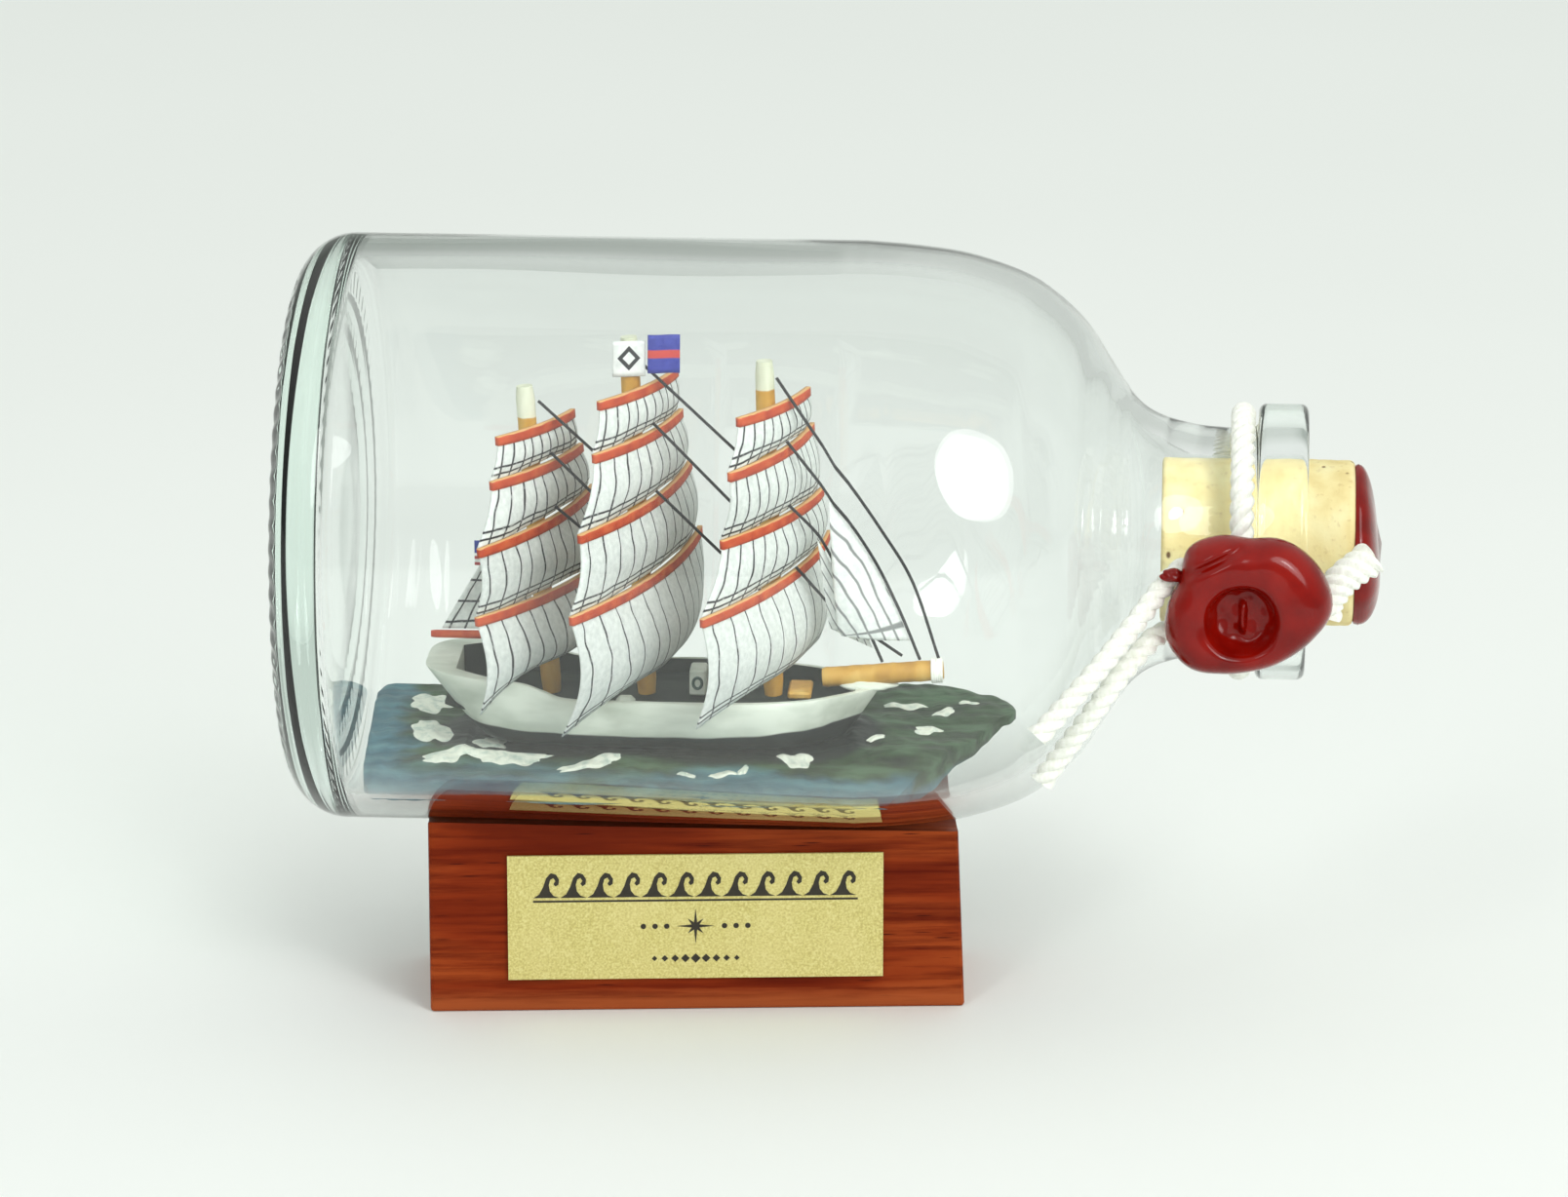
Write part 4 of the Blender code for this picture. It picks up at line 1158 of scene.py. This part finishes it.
def make_hull(material):
    """The carved hull, with soft edges, hollowed for the deck and bedded for the bowsprit."""
    line = smooth_curve([(x, b, r) for x, b, r in STATIONS], 6)
    points = []
    section = (
        (0.0, 0.0), (0.35, 0.0), (0.66, 0.03), (0.82, 0.10), (0.92, 0.2), (0.97, 0.34), (1.0, 0.5),
        (1.0, 0.7), (0.985, 0.88), (0.965, 0.97), (0.94, 1.0),
    )
    for x, half, rail in line:
        near = [(-b, h) for b, h in reversed(section[1:])]
        ring = near + list(section)
        for share, height in ring:
            z = KEEL_Z + (rail - KEEL_Z) * height
            wobble = 1 + 0.012 * sin(1.3 * x + 3 * height)
            points.append(mm(x + hull_shift(x, z, rail), share * half * wobble, z))
    faces = tube_faces(len(line), 2 * len(section) - 1)
    hull = mesh_piece("carved_hull", points, faces, material, replaced=["hull"], slot="hull_paint",
                      sharp=35)
    side = [
        (x, half * 0.98 - BULWARK - 0.35 * max(0.0, -24.0 - x))
        for x, half, _ in smooth_curve(STATIONS[1:-1], 5) if x > -27.8
    ]
    outline = side + [(x, -y) for x, y in reversed(side)]
    well = cutter_piece("well", outline, DECK_Z, 30.0)
    cut = hull.modifiers.new("Well", "BOOLEAN")
    cut.object = well
    bed_start, bed_end = (Vector(p) for p in BOWSPRIT)
    depth = (bed_end - bed_start).length + 2
    bed_mesh = bpy.data.meshes.new("bed")
    work = bmesh.new()
    bmesh.ops.create_cone(work, cap_ends=True, segments=32, radius1=(BOWSPRIT_RADIUS + 0.05) * MM,
                          radius2=(BOWSPRIT_RADIUS + 0.05) * MM, depth=depth * MM)
    work.to_mesh(bed_mesh)
    work.free()
    bed = bpy.data.objects.new("bed", bed_mesh)
    bed.location = (bed_start + bed_end) / 2 * MM
    bed.rotation_euler = (bed_end - bed_start).to_track_quat("Z", "Y").to_euler()
    notch = hull.modifiers.new("Bed", "BOOLEAN")
    notch.object = bed
    for cutter in (well, bed):
        bpy.context.scene.collection.objects.link(cutter)
    soften = hull.modifiers.new("Bevel", "BEVEL")
    soften.width = 0.12 * MM
    soften.segments = 2
    soften.angle_limit = radians(45)
    apply_modifiers(hull)
    for cutter in (well, bed):
        bpy.data.objects.remove(cutter, do_unlink=True)
    hull.data.shade_smooth()
    hull.data.set_sharp_from_angle(angle=radians(40))


def apply_modifiers(piece):
    """Put the shape that a piece's modifiers give it into its mesh."""
    graph = bpy.context.evaluated_depsgraph_get()
    mesh = bpy.data.meshes.new_from_object(piece.evaluated_get(graph))
    piece.modifiers.clear()
    piece.data = mesh


def make_stem_paint(material):
    """Thick paint run over the bowsprit's root."""
    add_blob("stem_paint", (2.3, 0.0, 23.15), (2.0, 0.95, 0.55), material, "hull_paint", 9)


def make_deck_looks(paint):
    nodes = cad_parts
    set_material(nodes["deck"], deck_look())
    set_material(nodes["windlass"], spar_look("windlass_ochre"))
    for name in ("deck_house", "deck_boat"):
        set_material(nodes[name], paint)
    low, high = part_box("deck_house")
    middle = ((low[0] + high[0]) / 2, low[1], (low[2] + high[2]) / 2)
    ring = [Vector((middle[0] + 0.32 * MM * cos(angle), middle[1] - 0.03 * MM,
                    middle[2] + 0.42 * MM * sin(angle))) for angle in angles(40)]
    thread_piece("deck_house_port", ring + ring[:1], 0.11, ink_look("port_green", rgb(52, 84, 74)),
                 slot="deck_paint")


# ---------------------------------------------------------------- rig


def mast_x(mast, z):
    return mast["foot_x"] - tan(radians(mast["rake"])) * (z - MAST_FOOT_Z)


def sail_point(mast, brace, z, sideways, forward):
    """A point at height z, sideways and forward of the mast on a yard turned by brace degrees."""
    angle = radians(brace)
    x = mast_x(mast, z) + sideways * sin(angle) + forward * cos(angle)
    return (x, sideways * cos(angle) - forward * sin(angle), z)


def make_spars():
    for name, mast in MASTS.items():
        painted = (mast["top_z"] - (1.9 if name == "fore" else 2.1)) * MM
        top = (mast_x(mast, mast["top_z"]), 0.0, mast["top_z"])
        rod_piece(name + "_spar", (mast["foot_x"], 0.0, MAST_FOOT_Z - 0.2), top, MAST_RADII,
                  spar_look(name + "_paint", painted), wobble=0.02, replaced=[name + "_mast"],
                  slot="spar_ochre")
    rod_piece("bowsprit_spar", *BOWSPRIT, (BOWSPRIT_RADIUS,) * 2, spar_look("bowsprit_paint"),
              wobble=0.04, replaced=["bowsprit"], slot="spar_ochre")
    tip = Vector(BOWSPRIT[1])
    along = (tip - Vector(BOWSPRIT[0])).normalized()
    coil = []
    for i in range(120):
        angle = 2 * pi * i / 24
        centre = tip - along * (0.9 - 0.007 * i)
        reach = BOWSPRIT_RADIUS + 0.09
        coil.append((centre + Vector((0, cos(angle), sin(angle))) * reach) * MM)
    thread_piece("bowsprit_lashing", coil, 0.11, cotton_look(), slot="cotton_cord")


def make_yard(name, mast, yard, material):
    height, length, brace = yard

    def place(u, w):
        z = height + (0.5 - w) * YARD_HEIGHT * (1 - 0.12 * u**4)
        return sail_point(mast, brace, z, u * length / 2, YARD_OFFSET - YARD_BEND * length * u**2)

    sheet_piece(name + "_batten", place, (28, 3), YARD_THICKNESS, material, replaced=[name],
                slot="yard_orange")


def make_square_sail(name, mast, yard, below, course_foot):
    """One sheet of paper from its yard down to the yard below, or to a course's free foot."""
    height, length, brace = yard
    head_z = height - YARD_HEIGHT / 2 + 0.15
    if below:
        foot_z, foot_length, foot_brace = below[0] + 0.15, 0.97 * below[1], below[2]
        rise, drawn, tuck, foot_bend = 0.4, 0.0, 0.28, YARD_BEND * below[1]
    else:
        foot_z, foot_length, rise, drawn = course_foot
        foot_brace, tuck, foot_bend = brace, 0.0, YARD_BEND * length * 1.25
    drop = head_z - foot_z
    belly = min(0.13 * drop, 1.1)

    def place(u, w):
        half = (length + (foot_length - length) * w) / 2 - 0.1
        bend = YARD_BEND * length + (foot_bend - YARD_BEND * length) * w
        forward = YARD_OFFSET - bend * u**2 - drawn * w**2 * u**4 - tuck * w
        forward += belly * sin(pi * w) * (1 - 0.35 * u**2)
        forward += 0.05 * sin(9 * u + 2 * w) * w
        arch = (1 - u**2) ** 2 if below else 1 - u**4
        z = head_z - drop * w + rise * w**2 * arch
        return sail_point(mast, brace + (foot_brace - brace) * w, z, u * half, forward)

    paper = sail_look(name + "_paper", 12 if length > 14 else 10, length, drop)
    sheet_piece(name + "_cloth", place, (32, 20), SAIL_THICKNESS, paper, replaced=[name],
                slot="sail_paper")


def make_square_rig():
    orange = yard_look()
    for mast_name, mast in MASTS.items():
        yards = mast["yards"]
        for i, (yard, below) in enumerate(zip(yards, (*yards[1:], None))):
            name = f"{mast_name}_{SAIL_NAMES[i]}"
            make_yard(name + "_yard", mast, yard, orange)
            make_square_sail(name, mast, yard, below, mast["course_foot"])


def make_spanker(orange):
    mizzen = MASTS["mizzen"]
    boom_z = 26.35
    off_mast = MAST_RADII[0] + 0.15
    rod_piece("spanker_boom_spar", (mast_x(mizzen, boom_z) - off_mast, 0.0, boom_z + 0.1),
              (-29.7, 0.0, boom_z), (0.34, 0.28), orange, sides=16, replaced=["spanker_boom"],
              slot="yard_orange")
    foot_z = boom_z + 0.45
    tack = (mast_x(mizzen, foot_z) - off_mast, foot_z + 0.1)
    clew = (-28.9, foot_z)
    throat = (mast_x(mizzen, 31.4) - off_mast, 31.4)
    peak = (-25.7, 32.2)

    def place(u, w):
        a = (1 + u) / 2
        top = [p + (q - p) * a for p, q in zip(throat, peak)]
        foot = [p + (q - p) * a for p, q in zip(tack, clew)]
        x, z = (p + (q - p) * w for p, q in zip(top, foot))
        return (x, 0.5 * sin(pi * a) * sin(pi * w), z)

    sheet_piece("spanker_cloth", place, (20, 16), SAIL_THICKNESS,
                sail_look("spanker_paper", 6, 6.5, 5.0, (0.5, 1.9, 3.5)), replaced=["spanker"],
                slot="sail_paper")


def make_jibs():
    jibs = {
        "outer_jib": (((-0.5, 37.2), *STAYS["outer_jib_stay"][1:]), (0.3, -1.5, 27.3), -0.9, 0.1),
        "inner_jib": (STAYS["inner_jib_stay"][1:], (-0.4, -0.25, 27.5), -0.3, 0.25),
    }
    aft = 0.15
    for name, (luff, clew, belly, lead) in jibs.items():
        line = smooth_curve([(x, 0.0, z) for x, z in luff], 6)
        line = line[: int(len(line) * 0.93)]

        def place(u, w, line=line, clew=clew, belly=belly, lead=lead):
            along = (1 + u) / 2 * (len(line) - 1)
            i = min(int(along), len(line) - 2)
            edge = line[i] + (line[i + 1] - line[i]) * (along - i)
            edge = Vector((edge.x - aft, 0.0, edge.z - lead))
            point = edge + (Vector(clew) - edge) * 0.97 * w
            swell = sin(pi * w) * sin(pi * (0.15 + 0.7 * (1 + u) / 2))
            return (point.x, point.y + belly * swell, point.z)

        sheet_piece(name + "_cloth", place, (28, 18), SAIL_THICKNESS, jib_look(name + "_paper"),
                    replaced=[name], slot="sail_paper")


def jib_look(name):
    """White paper with seams parallel to the jib's leech."""
    look = Paint(name, roughness=0.75)
    w = look.axis("Y", "UV")
    u = look.axis("X", "UV")
    wander = look.times(look.noise(420, 1.0), 0.12)
    place = look.times(look.minus(w, wander), 5.0)
    off = look.apart(look.maths("FRACT", place), 0.5)
    seams = look.step(off, 0.12, 0.06)
    foot = look.step(look.apart(u, 0.9), 0.024, 0.012)
    fibre, paper = look.paper((220, 225, 223), (240, 244, 241))
    marks = look.times(look.maths("MAXIMUM", seams, foot), 0.7)
    return look.done(look.mix(marks, paper, rgb(38, 40, 48)), fibre, 0.02, 0.4)


def make_flags():
    front = -MAST_RADII[0] - 0.08
    flags = {
        "signal_flag_white": ((-16.2, 46.25), (-13.85, 48.85), front, "diamond", "sail_paper"),
        "signal_flag_blue": ((-13.65, 46.55), (-11.35, 49.35), front - 0.1, "band", "flag_blue"),
        "ensign": ((-26.3, 31.9), (-24.9, 33.75), -0.62, "stripes", "ensign_cloth"),
    }
    for name, ((x0, z0), (x1, z1), y, kind, slot) in flags.items():

        def place(u, w, x0=x0, z0=z0, x1=x1, z1=z1, y=y):
            x = x0 + (x1 - x0) * (1 + u) / 2
            return (x, y + 0.12 * sin(2.2 * u), z1 + (z0 - z1) * w)

        sheet_piece(name + "_cloth", place, (16, 8), 0.1, flag_look(name + "_print", kind),
                    replaced=[name], slot=slot)


def make_stays():
    black = thread_look()
    for name, line in STAYS.items():
        side = STAY_SIDE.get(name, 0.0)
        points = [Vector((x, side, z)) for x, z in line]
        points[0] += (points[0] - points[1]).normalized() * STAY_LEADS[0]
        points[-1] += (points[-1] - points[-2]).normalized() * STAY_LEADS[1]
        points = [point * MM for point in points]
        if len(line) > 2:
            points = smooth_curve(points, 8)
        thread_piece(name + "_thread", points, STAY_RADIUS, black, replaced=[name],
                     slot="rigging_thread")


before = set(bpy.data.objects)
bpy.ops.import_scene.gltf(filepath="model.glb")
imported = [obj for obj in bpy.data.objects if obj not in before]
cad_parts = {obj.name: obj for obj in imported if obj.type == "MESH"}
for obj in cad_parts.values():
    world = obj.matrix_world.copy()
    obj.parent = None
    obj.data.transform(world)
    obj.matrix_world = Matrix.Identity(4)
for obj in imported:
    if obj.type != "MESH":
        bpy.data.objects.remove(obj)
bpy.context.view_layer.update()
make_camera()
cotton = cotton_look()
make_cords(cotton)
make_studio()
make_bottle(glass_look())
make_cork(cork_look())
wax = wax_look()
make_wax_cap(wax)
make_seal(wax)
make_stand_looks()
make_sea(sea_look())
make_foam(foam_look())
hull_paint = hull_look()
make_hull(hull_paint)
make_stem_paint(hull_paint)
make_deck_looks(hull_paint)
make_spars()
make_square_rig()
make_spanker(yard_look("boom_orange", straw_edge=False))
make_jibs()
make_flags()
make_stays()
